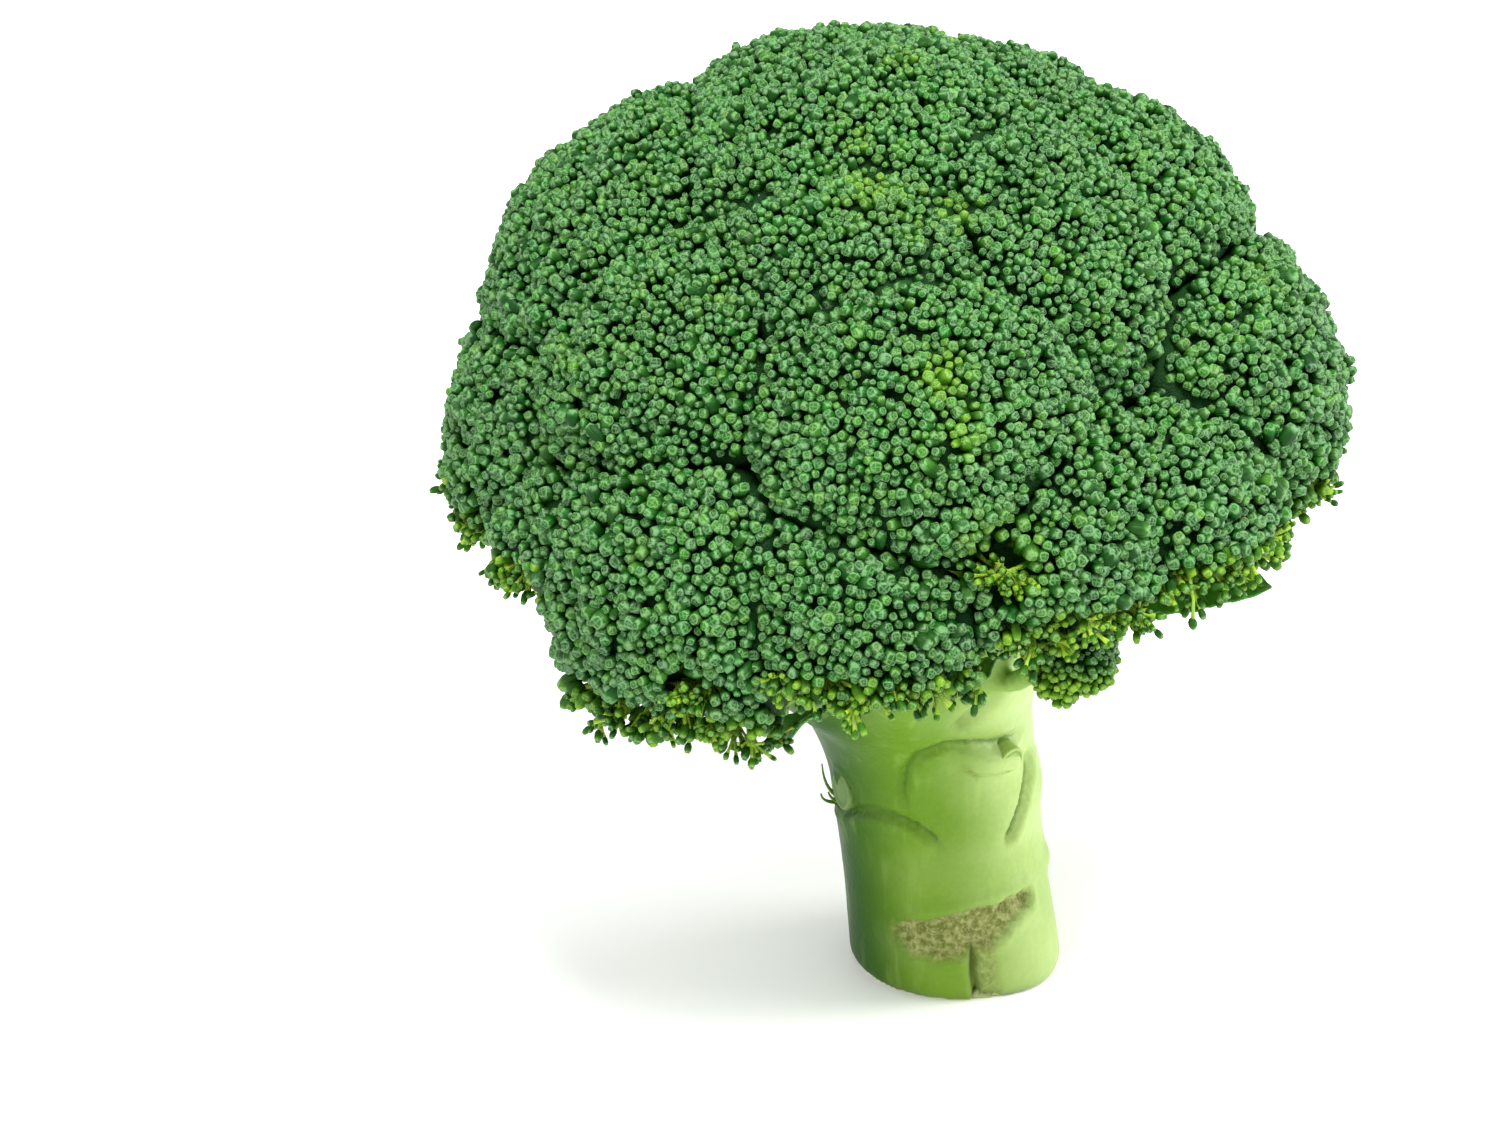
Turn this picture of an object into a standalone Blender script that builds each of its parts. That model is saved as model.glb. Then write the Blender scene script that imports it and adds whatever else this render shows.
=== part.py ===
"""A head of broccoli, cut square and standing on its stalk.

The stalk forks at its neck into one stem for each floret. Each stem carries a head of flower buds,
and the heads press together into one rounded crown. A small side shoot, three young leaves and two
cut leaf stalks complete it. Metres, +Z up. The origin is the middle of the cut face it stands on.
"""

import math
from collections import namedtuple

import bmesh
import bpy
from mathutils import Vector

# Driving dimensions.
STALK_HEIGHT = 0.056  # from the cut face to the neck, where the stems begin
STALK_BASE_RADIUS = 0.0200
STALK_WAIST_RADIUS = 0.0192
STALK_NECK_RADIUS = 0.0206
STALK_DEPTH_RATIO = 0.96  # front to back over side to side
STALK_LEAN = -0.0068  # the neck stands this far to the side of the cut face

CROWN_RADIUS = 0.080
CROWN_SIDE = -0.0134  # the crown's middle, to the side of the cut face
CROWN_HEIGHT = 0.100  # the crown's middle, above the cut face

CORE_RADIUS = 0.064  # the space under the bud heads, where the stems spread
CORE_HEIGHT = 0.072
CORE_SIDE = -0.0110
FORK_DEPTH = 0.017  # how far below the neck the stems' lines meet

STEM_FOOT_RADIUS = 0.0070
SHOOT_HEAD_RADIUS = 0.0085
SHOOT_STEM_RADIUS = 0.0022
SHOOT_STEM_SHARE = 0.55  # how far up its parent stem the side shoot branches off
LEAF_THICKNESS = 0.0009
GAP = 0.0003  # between pieces that touch

HEAD_SPHERE_STEPS = 4
STALK_SIDES = 28
STALK_RINGS = 9
STEM_SIDES = 14
LEAF_RINGS = 10

# One floret: its place in the crown as a bearing (0 is the right, -90 the front) and a tilt from
# upright in degrees, then in metres how round its head is, how far that stands out of the crown's
# sphere, the height of the head's lowest edge, and its stem's radius where it meets the head.
Floret = namedtuple("Floret", "place bearing tilt roundness rise rim stem")
FLORETS = (
    Floret("top", -140, 13, 0.050, 0.0030, 0.098, 0.0085),
    Floret("upper_right", 24, 21, 0.044, -0.0015, 0.098, 0.0080),
    Floret("shoulder_right", -6, 39, 0.036, 0.0024, 0.098, 0.0080),
    Floret("shoulder_front", -56, 31, 0.042, 0.0000, 0.098, 0.0070),
    Floret("middle", -104, 37, 0.046, 0.0005, 0.098, 0.0070),
    Floret("shoulder_left", -172, 46, 0.044, 0.0045, 0.098, 0.0080),
    Floret("front_left", -134, 57, 0.042, 0.0020, 0.096, 0.0085),
    Floret("front", -90, 61, 0.038, 0.0040, 0.100, 0.0090),
    Floret("right", -14, 68, 0.037, 0.0038, 0.108, 0.0095),
    Floret("low_front", -123, 89, 0.040, 0.0045, 0.083, 0.0095),
    Floret("low_middle", -98, 88, 0.034, 0.0030, 0.094, 0.0060),
    Floret("low_front_right", -69, 81, 0.032, 0.0015, 0.103, 0.0060),
    Floret("low_right", -44, 85, 0.032, 0.0020, 0.107, 0.0070),
    Floret("left", -164, 78, 0.042, 0.0020, 0.102, 0.0090),
    Floret("low_left", -144, 90, 0.036, 0.0015, 0.100, 0.0065),
    Floret("back_top", 85, 38, 0.044, 0.0010, 0.098, 0.0085),
    Floret("back_right", 30, 76, 0.042, 0.0020, 0.100, 0.0090),
    Floret("back", 78, 80, 0.044, 0.0025, 0.094, 0.0095),
    Floret("back_left", 122, 78, 0.042, 0.0010, 0.098, 0.0090),
    Floret("far_left", 165, 82, 0.042, -0.0005, 0.100, 0.0080),
)
SHOOT_PARENT = "low_front_right"
SHOOT_BEARING = -66
SHOOT_REACH = 0.068  # from the crown's middle line to the middle of the shoot's head
SHOOT_DROP = 0.0014  # below the head above it

# One cut leaf stalk on the side of the main stalk: bearing, height, radius and length.
Stub = namedtuple("Stub", "place bearing height radius length")
STUBS = (
    Stub("right", -50, 0.0490, 0.0042, 0.0040),
    Stub("left", -152, 0.0395, 0.0040, 0.0026),
)

# One young leaf: the floret whose stem bears it, how far up that stem, the bearing its blade points
# to, how steeply it rises in degrees, and its length and width.
Leaf = namedtuple("Leaf", "place stem share bearing rise length width")
LEAVES = (
    Leaf("right", "right", 0.63, -38, 13, 0.037, 0.0105),
    Leaf("under_crown", "low_middle", 0.66, -136, -4, 0.020, 0.0090),
    Leaf("small", "low_front_right", 0.72, -97, 2, 0.016, 0.0055),
)

MATERIALS = {
    "stalk": ((0.33, 0.50, 0.16), 0.45),
    "buds": ((0.055, 0.16, 0.075), 0.75),
    "leaf": ((0.05, 0.19, 0.05), 0.50),
    "cut_face": ((0.62, 0.70, 0.40), 0.60),
}

CROWN_MIDDLE = Vector((CROWN_SIDE, 0, CROWN_HEIGHT))
CORE_MIDDLE = Vector((CORE_SIDE, 0, CORE_HEIGHT))
FORK = Vector((STALK_LEAN, 0, STALK_HEIGHT - FORK_DEPTH))
UP = Vector((0, 0, 1))


def clear_scene():
    for obj in list(bpy.data.objects):
        bpy.data.objects.remove(obj, do_unlink=True)


def material(name):
    """The Principled material of this name, made the first time it is asked for."""
    found = bpy.data.materials.get(name)
    if found:
        return found
    colour, roughness = MATERIALS[name]
    made = bpy.data.materials.new(name)
    made.use_nodes = True
    shader = made.node_tree.nodes["Principled BSDF"]
    shader.inputs["Base Color"].default_value = (*colour, 1)
    shader.inputs["Roughness"].default_value = roughness
    shader.inputs["Metallic"].default_value = 0
    made.diffuse_color = (*colour, 1)
    return made


def finish(name, bm, material_name):
    """Turns a bmesh into a named object with smooth faces and sharp cut edges."""
    bmesh.ops.recalc_face_normals(bm, faces=bm.faces)
    mesh = bpy.data.meshes.new(name)
    bm.to_mesh(mesh)
    bm.free()
    mesh.shade_smooth()
    mesh.set_sharp_from_angle(angle=math.radians(35))
    mesh.materials.append(material(material_name))
    obj = bpy.data.objects.new(name, mesh)
    bpy.context.collection.objects.link(obj)
    return obj


def direction(bearing, tilt):
    """A unit vector from a bearing in the ground plane and a tilt from upright, in degrees."""
    around, lean = math.radians(bearing), math.radians(tilt)
    return Vector((math.sin(lean) * math.cos(around), math.sin(lean) * math.sin(around), math.cos(lean)))


def trim(bm, point, normal):
    """Cuts away what lies beyond a plane, on the side its normal points to, and closes the cut."""
    everything = bm.verts[:] + bm.edges[:] + bm.faces[:]
    cut = bmesh.ops.bisect_plane(
        bm, geom=everything, dist=1e-7, plane_co=point, plane_no=normal, clear_outer=True
    )
    rim = [item for item in cut["geom_cut"] if isinstance(item, bmesh.types.BMEdge)]
    open_rim = [edge for edge in rim if edge.is_boundary]
    if open_rim:
        bmesh.ops.edgeloop_fill(bm, edges=open_rim)


def loft(rings):
    """A bmesh whose faces join one ring of points to the next, closed at both ends."""
    bm = bmesh.new()
    rows = [[bm.verts.new(point) for point in ring] for ring in rings]
    count = len(rows[0])
    for lower, upper in zip(rows, rows[1:]):
        for i in range(count):
            j = (i + 1) % count
            bm.faces.new((lower[i], lower[j], upper[j], upper[i]))
    bm.faces.new(rows[0])
    bm.faces.new(rows[-1])
    return bm


def cone(start, end, start_radius, end_radius):
    """A bmesh of a round stem between two points."""
    along = end - start
    bm = bmesh.new()
    bmesh.ops.create_cone(
        bm, cap_ends=True, segments=STEM_SIDES, radius1=start_radius, radius2=end_radius,
        depth=along.length,
    )
    turn = UP.rotation_difference(along.normalized()).to_matrix()
    bmesh.ops.rotate(bm, verts=bm.verts, matrix=turn)
    bmesh.ops.translate(bm, verts=bm.verts, vec=(start + end) / 2)
    return bm


# The main stalk


def stalk_radius(height):
    """The stalk's half width: full at the foot, drawn in at the waist, flared again at the neck."""
    share = height / STALK_HEIGHT
    ends = STALK_BASE_RADIUS + (STALK_NECK_RADIUS - STALK_BASE_RADIUS) * share
    waist = STALK_WAIST_RADIUS - (STALK_BASE_RADIUS + STALK_NECK_RADIUS) / 2
    return ends + waist * math.sin(math.pi * share)


def stalk_middle(height):
    return Vector((STALK_LEAN * height / STALK_HEIGHT, 0, height))


def add_stalk():
    rings = []
    for step in range(STALK_RINGS):
        height = STALK_HEIGHT * step / (STALK_RINGS - 1)
        radius = stalk_radius(height)
        ring = []
        for side in range(STALK_SIDES):
            around = math.tau * side / STALK_SIDES
            offset = Vector((math.cos(around), STALK_DEPTH_RATIO * math.sin(around), 0))
            ring.append(stalk_middle(height) + radius * offset)
        rings.append(ring)
    finish("main_stalk", loft(rings), "stalk")


def stalk_reach(height, outward):
    """How far the stalk's oval section reaches from the origin's upright in a level direction."""
    oval = math.hypot(outward.x, STALK_DEPTH_RATIO * outward.y)
    return stalk_middle(height).dot(outward) + stalk_radius(height) * oval


def add_stub(stub):
    """A cut leaf stalk, standing on the flat that just touches the main stalk beside it."""
    outward = direction(stub.bearing, 90)
    beside = [stub.height + stub.radius * share for share in (-1, -0.5, 0, 0.5, 1)]
    touching = max(stalk_reach(height, outward) for height in beside)
    middle = stalk_middle(stub.height)
    foot = middle + outward * (touching + GAP - middle.dot(outward))
    finish(
        f"leaf_stub_{stub.place}",
        cone(foot, foot + outward * stub.length, stub.radius, stub.radius * 0.85),
        "cut_face",
    )


# The florets


def head_middle(floret):
    """The middle of the sphere that a head's outer face is part of."""
    reach = CROWN_RADIUS + floret.rise - floret.roundness
    return CROWN_MIDDLE + reach * direction(floret.bearing, floret.tilt)


def shared_plane(floret, other):
    """The plane through the crease between two heads' spheres, as a point and a normal."""
    here, there = head_middle(floret), head_middle(other)
    apart = there - here
    distance = apart.length
    share = (distance**2 + floret.roundness**2 - other.roundness**2) / (2 * distance)
    normal = apart / distance
    return here + normal * share, normal


def facing_of(bm, floret):
    """The way from the core to the middle of a head, steep enough for its stem to end above its rim."""
    outside = [v.co.copy() for v in bm.verts if (v.co - CORE_MIDDLE).length > CORE_RADIUS]
    facing = (sum(outside, Vector()) / len(outside) - CORE_MIDDLE).normalized()
    lowest = (floret.rim + floret.stem / 2 - CORE_HEIGHT) / CORE_RADIUS
    if facing.z >= lowest:
        return facing
    level = Vector((facing.x, facing.y, 0)).normalized()
    return level * math.sqrt(1 - lowest**2) + UP * lowest


def add_head(floret):
    """Adds a head of buds and returns which way it faces from the core."""
    bm = bmesh.new()
    bmesh.ops.create_icosphere(bm, subdivisions=HEAD_SPHERE_STEPS, radius=floret.roundness)
    bmesh.ops.translate(bm, verts=bm.verts, vec=head_middle(floret))
    for other in FLORETS:
        if other is not floret:
            point, normal = shared_plane(floret, other)
            trim(bm, point - normal * GAP / 2, normal)
    trim(bm, Vector((0, 0, floret.rim)), -UP)
    facing = facing_of(bm, floret)
    trim(bm, CORE_MIDDLE + facing * (CORE_RADIUS + GAP / 2), -facing)
    finish(f"head_{floret.place}", bm, "buds")
    return facing


def head_foot(facing):
    """The point under a head where its stem meets it square."""
    return CORE_MIDDLE + CORE_RADIUS * facing


def stem_line(facing):
    return (head_foot(facing) - FORK).normalized()


def add_stem(floret, facings):
    """Adds the stem from the fork to a head's foot, kept apart from the stems on either side."""
    facing = facings[floret.place]
    along = stem_line(facing)
    foot = head_foot(facing)
    bm = cone(FORK, foot + along * floret.stem, STEM_FOOT_RADIUS, floret.stem)
    for place, other in facings.items():
        if place != floret.place:
            normal = (stem_line(other) - along).normalized()
            trim(bm, FORK - normal * GAP / 2, normal)
    trim(bm, foot - facing * GAP / 2, facing)
    trim(bm, Vector((0, 0, STALK_HEIGHT + GAP)), -UP)
    finish(f"stem_{floret.place}", bm, "stalk")


# The side shoot and the young leaves


def floret_at(place):
    return next(floret for floret in FLORETS if floret.place == place)


def on_stem(place, facings, share, towards):
    """A point on the side of a stem that faces a direction, clear of it, and the way out from it."""
    floret = floret_at(place)
    along = stem_line(facings[place])
    middle = FORK.lerp(head_foot(facings[place]), share)
    outward = (towards - along * towards.dot(along)).normalized()
    radius = max(floret.stem, STEM_FOOT_RADIUS)
    return middle + outward * (radius + GAP), outward


def add_side_shoot(facings):
    parent = floret_at(SHOOT_PARENT)
    middle = CROWN_MIDDLE + SHOOT_REACH * direction(SHOOT_BEARING, 90)
    middle.z = parent.rim - SHOOT_DROP - SHOOT_HEAD_RADIUS
    start, outward = on_stem(SHOOT_PARENT, facings, SHOOT_STEM_SHARE, direction(SHOOT_BEARING, 120))
    along = (middle - start).normalized()
    end = middle - along * (SHOOT_HEAD_RADIUS + GAP)
    stem = cone(start - along * SHOOT_STEM_RADIUS * 2, end, SHOOT_STEM_RADIUS, SHOOT_STEM_RADIUS)
    trim(stem, start, -outward)
    finish("side_shoot_stem", stem, "stalk")
    head = bmesh.new()
    bmesh.ops.create_icosphere(head, subdivisions=3, radius=SHOOT_HEAD_RADIUS)
    bmesh.ops.translate(head, verts=head.verts, vec=middle)
    finish("side_shoot_head", head, "buds")


def leaf_half_width(leaf, share):
    """A narrow foot, the widest point just past the middle, and a pointed tip."""
    return leaf.width / 2 * (0.16 + 0.84 * math.sin(math.pi * share**0.8) ** 1.2) * (1 - 0.8 * share**6)


def add_leaf(leaf, facings):
    """A thin blade, folded a little along its midrib and arched from foot to tip."""
    pointing = direction(leaf.bearing, 90 - leaf.rise)
    start, outward = on_stem(leaf.stem, facings, leaf.share, pointing)
    foot = start + outward * LEAF_THICKNESS / 2
    sideways = pointing.cross(UP).normalized()
    rings = []
    for step in range(LEAF_RINGS):
        share = step / (LEAF_RINGS - 1)
        arch = 0.08 * leaf.length * math.sin(math.pi * share)
        middle = foot + pointing * leaf.length * share + UP * arch
        half = leaf_half_width(leaf, share) * sideways
        fold = UP * half.length * 0.35
        down = -UP * LEAF_THICKNESS
        rings.append((middle - half + fold, middle, middle + half + fold,
                      middle + half + fold + down, middle + down, middle - half + fold + down))
    finish(f"leaf_{leaf.place}", loft(rings), "leaf")


def main():
    clear_scene()
    add_stalk()
    for stub in STUBS:
        add_stub(stub)
    facings = {floret.place: add_head(floret) for floret in FLORETS}
    for floret in FLORETS:
        add_stem(floret, facings)
    add_side_shoot(facings)
    for leaf in LEAVES:
        add_leaf(leaf, facings)


main()
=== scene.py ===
# %% [markdown]
# # A head of broccoli
#
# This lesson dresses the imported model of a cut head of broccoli. The model already has every piece at
# its true size and place: a stalk, its stems, twenty florets, a side shoot and three young leaves.
# Here each of them gets the shape and the finish that the eye expects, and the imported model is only
# read, never moved.

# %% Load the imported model
import math
from types import SimpleNamespace

import bpy
import numpy as np
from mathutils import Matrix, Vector, noise
from mathutils.bvhtree import BVHTree
from mathutils.kdtree import KDTree


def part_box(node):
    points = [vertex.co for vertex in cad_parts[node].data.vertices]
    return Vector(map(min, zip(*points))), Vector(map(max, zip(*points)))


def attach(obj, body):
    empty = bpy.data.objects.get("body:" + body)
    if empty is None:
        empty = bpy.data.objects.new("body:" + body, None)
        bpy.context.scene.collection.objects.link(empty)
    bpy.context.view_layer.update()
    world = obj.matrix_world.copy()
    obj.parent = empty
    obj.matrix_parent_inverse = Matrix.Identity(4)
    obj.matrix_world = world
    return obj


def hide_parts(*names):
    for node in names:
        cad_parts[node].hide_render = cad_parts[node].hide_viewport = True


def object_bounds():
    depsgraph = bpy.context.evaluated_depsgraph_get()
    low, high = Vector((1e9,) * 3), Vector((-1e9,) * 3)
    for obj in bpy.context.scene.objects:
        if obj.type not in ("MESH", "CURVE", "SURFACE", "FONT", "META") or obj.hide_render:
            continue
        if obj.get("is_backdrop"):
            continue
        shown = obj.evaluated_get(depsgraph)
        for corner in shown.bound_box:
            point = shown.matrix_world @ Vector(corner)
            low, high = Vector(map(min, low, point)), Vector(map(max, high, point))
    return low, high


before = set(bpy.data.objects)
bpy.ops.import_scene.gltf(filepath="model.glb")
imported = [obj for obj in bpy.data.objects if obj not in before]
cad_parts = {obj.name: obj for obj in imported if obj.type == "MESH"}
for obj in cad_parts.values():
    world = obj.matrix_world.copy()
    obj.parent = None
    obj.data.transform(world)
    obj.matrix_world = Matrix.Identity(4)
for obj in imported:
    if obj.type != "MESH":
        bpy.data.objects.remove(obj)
cad_low, cad_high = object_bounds()
print("packed model", [round(side, 4) for side in cad_high - cad_low], "metres")

# %% [markdown]
# ## Camera, floor and light
#
# A vegetable on a white table is lit by a big soft window or lamp. The camera is long and stands back,
# so the head isn't stretched. The floor is pale, so it throws green-free light up under the crown, as a
# white table does. One large lamp above and two weaker ones at the sides keep the shadows soft.

# %% Camera
CAMERA_PLACE = (-0.03896, -0.68930, 0.39701)
CAMERA_DOWN = 24.6  # degrees below level

camera_data = bpy.data.cameras.new("camera")
camera_data.lens = 100
camera_data.sensor_width = 36
camera_data.clip_start = 0.01
camera = bpy.data.objects.new("camera", camera_data)
camera.location = CAMERA_PLACE
camera.rotation_euler = (math.radians(90 - CAMERA_DOWN), 0, 0)
bpy.context.scene.collection.objects.link(camera)
bpy.context.scene.camera = camera
bpy.context.scene.view_settings.view_transform = "Standard"
print("camera stands", round(Vector(CAMERA_PLACE).length, 3), "m from the cut face")


# %% Soft light
HEAD_MIDDLE = (cad_low + cad_high) / 2


def add_lamp(name, place, size, power, colour=(1.0, 1.0, 1.0)):
    """A square lamp that faces the head's middle."""
    data = bpy.data.lights.new(name, "AREA")
    data.size = size
    data.energy = power
    data.color = colour
    lamp = bpy.data.objects.new(name, data)
    lamp.location = place
    lamp.rotation_euler = (Vector(HEAD_MIDDLE) - Vector(place)).to_track_quat("-Z", "Y").to_euler()
    bpy.context.scene.collection.objects.link(lamp)


add_lamp("lamp_above", (0.12, -0.45, 1.15), 0.50, 26, (1.0, 0.99, 0.97))
add_lamp("lamp_right", (1.10, 0.10, 0.30), 0.6, 12.5)
add_lamp("lamp_front_left", (-0.9, -0.9, 0.7), 0.8, 7)
world = bpy.data.worlds.new("studio")
bpy.context.scene.world = world
world.use_nodes = True
background = world.node_tree.nodes["Background"]
background.inputs["Color"].default_value = (1, 1, 1, 1)
background.inputs["Strength"].default_value = 1.08

# %% [markdown]
# ## Small helpers
#
# Operators act on whatever is selected, and loading leaves the whole model selected, so each step takes
# up just its own piece first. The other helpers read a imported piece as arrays, make a mesh from arrays,
# and add a material's nodes by short calls.


# %% Selecting and finishing
def take_up(obj):
    """Makes obj the only selected object, and the active one."""
    bpy.ops.object.select_all(action="DESELECT")
    obj.select_set(True)
    bpy.context.view_layer.objects.active = obj


def apply_modifier(obj, kind, **settings):
    take_up(obj)
    modifier = obj.modifiers.new(kind.title(), kind)
    for setting, value in settings.items():
        setattr(modifier, setting, value)
    bpy.ops.object.modifier_apply(modifier=modifier.name)


def hand_over(obj, material, slot, *nodes):
    """Gives a finished piece its material, hangs it under the root, and hides the imported pieces it
    replaces.
    """
    obj.data.materials.clear()
    obj.data.materials.append(material)
    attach(obj, "root")
    if nodes:
        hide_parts(*nodes)
    return obj


def pick(obj, kind, test):
    """In edit mode, selects only the vertices or polygons that pass a test."""
    bpy.ops.mesh.select_all(action="DESELECT")
    bpy.ops.object.mode_set(mode="OBJECT")
    for element in getattr(obj.data, kind):
        element.select = test(element)
    bpy.ops.object.mode_set(mode="EDIT")


bpy.ops.object.select_all(action="DESELECT")
print("selection helpers ready")


# %% Meshes as arrays
def corners_of(obj, what="co"):
    """The place of each corner of a mesh, or its normal."""
    values = np.empty(len(obj.data.vertices) * 3, np.float32)
    obj.data.vertices.foreach_get(what, values)
    return values.reshape(-1, 3).astype(float)


def move_corners(obj, points):
    obj.data.vertices.foreach_set("co", points.astype(np.float32).ravel())
    obj.data.update()


def packed_piece(node):
    """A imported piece's corners, each of them once, and its triangles."""
    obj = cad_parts[node]
    obj.data.calc_loop_triangles()
    triangles = np.empty(len(obj.data.loop_triangles) * 3, np.int32)
    obj.data.loop_triangles.foreach_get("vertices", triangles)
    corners, index = np.unique(np.round(corners_of(obj), 6), axis=0, return_inverse=True)
    return corners, index.reshape(-1)[triangles].reshape(-1, 3)


def many_pieces(nodes):
    """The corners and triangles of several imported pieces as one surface, for rays to hit."""
    corners, triangles, count = [], [], 0
    for node in nodes:
        points, faces = packed_piece(node)
        corners += points.tolist()
        triangles += (faces + count).tolist()
        count += len(points)
    return BVHTree.FromPolygons(corners, triangles)


def mesh_object(name, points, face_corners, face_sizes):
    """A smooth mesh from its points, the corners of all its faces in a row, and each face's size."""
    mesh = bpy.data.meshes.new(name)
    mesh.vertices.add(len(points))
    mesh.vertices.foreach_set("co", np.asarray(points, np.float32).ravel())
    mesh.loops.add(len(face_corners))
    mesh.loops.foreach_set("vertex_index", np.asarray(face_corners, np.int32))
    mesh.polygons.add(len(face_sizes))
    mesh.polygons.foreach_set("loop_start", np.cumsum(face_sizes, dtype=np.int32) - face_sizes)
    mesh.update(calc_edges=True)
    mesh.shade_smooth()
    obj = bpy.data.objects.new(name, mesh)
    bpy.context.scene.collection.objects.link(obj)
    return obj


def write_attribute(obj, name, kind, values, domain="POINT"):
    """Stores one value for each point or face corner, for a material to read."""
    field = {"FLOAT": "value", "FLOAT_VECTOR": "vector", "FLOAT_COLOR": "color"}[kind]
    attribute = obj.data.attributes.new(name, kind, domain)
    attribute.data.foreach_set(field, np.asarray(values, np.float32).ravel())


def normalized(vectors):
    return vectors / np.maximum(np.linalg.norm(vectors, axis=-1, keepdims=True), 1e-12)


def eased(value, low, high):
    """0 below low, 1 above high, and a soft step between."""
    share = np.clip((value - low) / (high - low), 0, 1)
    return share * share * (3 - 2 * share)


print("mesh helpers ready")


# %% Materials
def linear(red, green, blue):
    """A colour given from 0 to 255, as the linear value a shader wants."""
    shares = (red / 255, green / 255, blue / 255)
    return tuple(c / 12.92 if c <= 0.04 else ((c + 0.055) / 1.055) ** 2.4 for c in shares) + (1,)


class Paint:
    """Adds nodes to a tree by short calls. Each call gives back the new node's result."""

    def __init__(self, tree):
        self.tree = tree

    def feed(self, socket, value):
        """Links a result to a socket, or sets the socket to a plain value."""
        if isinstance(value, bpy.types.NodeSocket):
            self.tree.links.new(value, socket)
        else:
            socket.default_value = value

    def put(self, kind, inputs=(), **settings):
        """Adds a node, sets its properties, and feeds its inputs by name or number."""
        node = self.tree.nodes.new(kind)
        for setting, value in settings.items():
            setattr(node, setting, value)
        for key, value in dict(inputs).items():
            self.feed(node.inputs[key], value)
        return node

    def figure(self, operation, *values):
        return self.put("ShaderNodeMath", dict(enumerate(values)), operation=operation).outputs[0]

    def times(self, first, second):
        return self.figure("MULTIPLY", first, second)

    def plus(self, first, second):
        return self.figure("ADD", first, second)

    def size(self, value):
        return self.figure("ABSOLUTE", value)

    def step(self, value, low, high):
        """A smooth step of a value, from 0 at low to 1 at high."""
        inputs = {"Value": value, "From Min": low, "From Max": high}
        return self.put("ShaderNodeMapRange", inputs, interpolation_type="SMOOTHSTEP").outputs["Result"]

    def blend(self, share, first, second):
        """A colour that goes from first to second by share. A plain colour is given from 0 to 255."""
        first, second = (linear(*c) if isinstance(c, tuple) else c for c in (first, second))
        return self.put("ShaderNodeMix", {0: share, 6: first, 7: second}, data_type="RGBA").outputs[2]

    def place(self):
        return self.put("ShaderNodeTexCoord").outputs["Object"]

    def noise(self, place, **inputs):
        return self.put("ShaderNodeTexNoise", {"Vector": place, **inputs}).outputs["Fac"]

    def stored(self, name, output="Fac"):
        """A value that the mesh keeps for each of its corners."""
        return self.put("ShaderNodeAttribute", attribute_name=name).outputs[output]

    def parts(self, vector):
        return self.put("ShaderNodeSeparateXYZ", {0: vector}).outputs

    def channels(self, name):
        return self.put("ShaderNodeSeparateColor", {0: self.stored(name, "Color")}).outputs

    def cover(self, colour, relief, distance, strength=1.0):
        """Gives the shader its colour, and its relief by a Bump node."""
        inputs = {"Height": relief, "Strength": strength, "Distance": distance}
        self.feed(self.shader.inputs["Base Color"], colour)
        self.feed(self.shader.inputs["Normal"], self.put("ShaderNodeBump", inputs).outputs["Normal"])


def new_material(name, roughness, specular=0.5):
    """A material, and the painter of its nodes."""
    material = bpy.data.materials.new(name)
    material.use_nodes = True
    paint = Paint(material.node_tree)
    paint.shader = material.node_tree.nodes["Principled BSDF"]
    paint.shader.inputs["Roughness"].default_value = roughness
    paint.shader.inputs["Specular IOR Level"].default_value = specular
    return material, paint


print("material helpers ready")

# %% [markdown]
# ## The mottle that all green flesh shares
#
# Plant skin is never one flat green. Broad soft clouds of lighter and darker flesh, and a fine grain of
# cells, show on the stalk, the stems, the leaves and the bed under the buds alike. So this is one node
# group that puts out a colour shift and a height, and each material uses it at its own scale.


# %% Mottle group
def build_mottle():
    group = bpy.data.node_groups.new("flesh_mottle", "ShaderNodeTree")
    colour, number = "NodeSocketColor", "NodeSocketFloat"
    for way, name, kind in (
        ("INPUT", "Color", colour), ("INPUT", "Scale", number), ("INPUT", "Depth", number),
        ("OUTPUT", "Color", colour), ("OUTPUT", "Height", number),
    ):
        group.interface.new_socket(name, in_out=way, socket_type=kind)
    paint = Paint(group)
    given = paint.put("NodeGroupInput").outputs
    place = paint.place()
    clouds = paint.step(paint.noise(place, Scale=given["Scale"], Detail=3.0), 0.35, 0.68)
    fine_scale = paint.times(given["Scale"], 14.0)
    grain = paint.step(paint.noise(place, Scale=fine_scale, Detail=2.0), 0.3, 0.7)
    shade = paint.plus(paint.times(clouds, 0.75), paint.times(grain, 0.25))
    darker, paler = (
        paint.put(
            "ShaderNodeHueSaturation",
            {"Color": given["Color"], "Hue": hue, "Saturation": saturation, "Value": value},
        ).outputs["Color"]
        for hue, saturation, value in ((0.505, 1.1, 0.86), (0.495, 0.94, 1.1))
    )
    mixed = paint.blend(shade, darker, paler)
    result = {
        "Color": paint.blend(given["Depth"], given["Color"], mixed),
        "Height": paint.plus(paint.times(clouds, 0.6), paint.times(grain, 0.4)),
    }
    paint.put("NodeGroupOutput", result)
    return group


MOTTLE = build_mottle()


def mottled(paint, colour, scale, depth):
    """The mottle group placed in a material: its colour and its height."""
    inputs = {"Color": colour, "Scale": scale, "Depth": depth}
    outputs = paint.put("ShaderNodeGroup", inputs, node_tree=MOTTLE).outputs
    return outputs["Color"], outputs["Height"]


print("mottle group", len(MOTTLE.nodes), "nodes")

# %% [markdown]
# ## One flower bud
#
# A broccoli bud is a closed flower about two millimetres wide: a small egg, slightly four-sided, wrapped
# in four sepals that meet in a cross at the tip. It is modelled once, from a sphere of eight sides. Every
# second meridian is drawn in to make the four sides, and the tip is pressed in a little. Each bud in
# the crown is a copy, so it has only forty faces.


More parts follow.
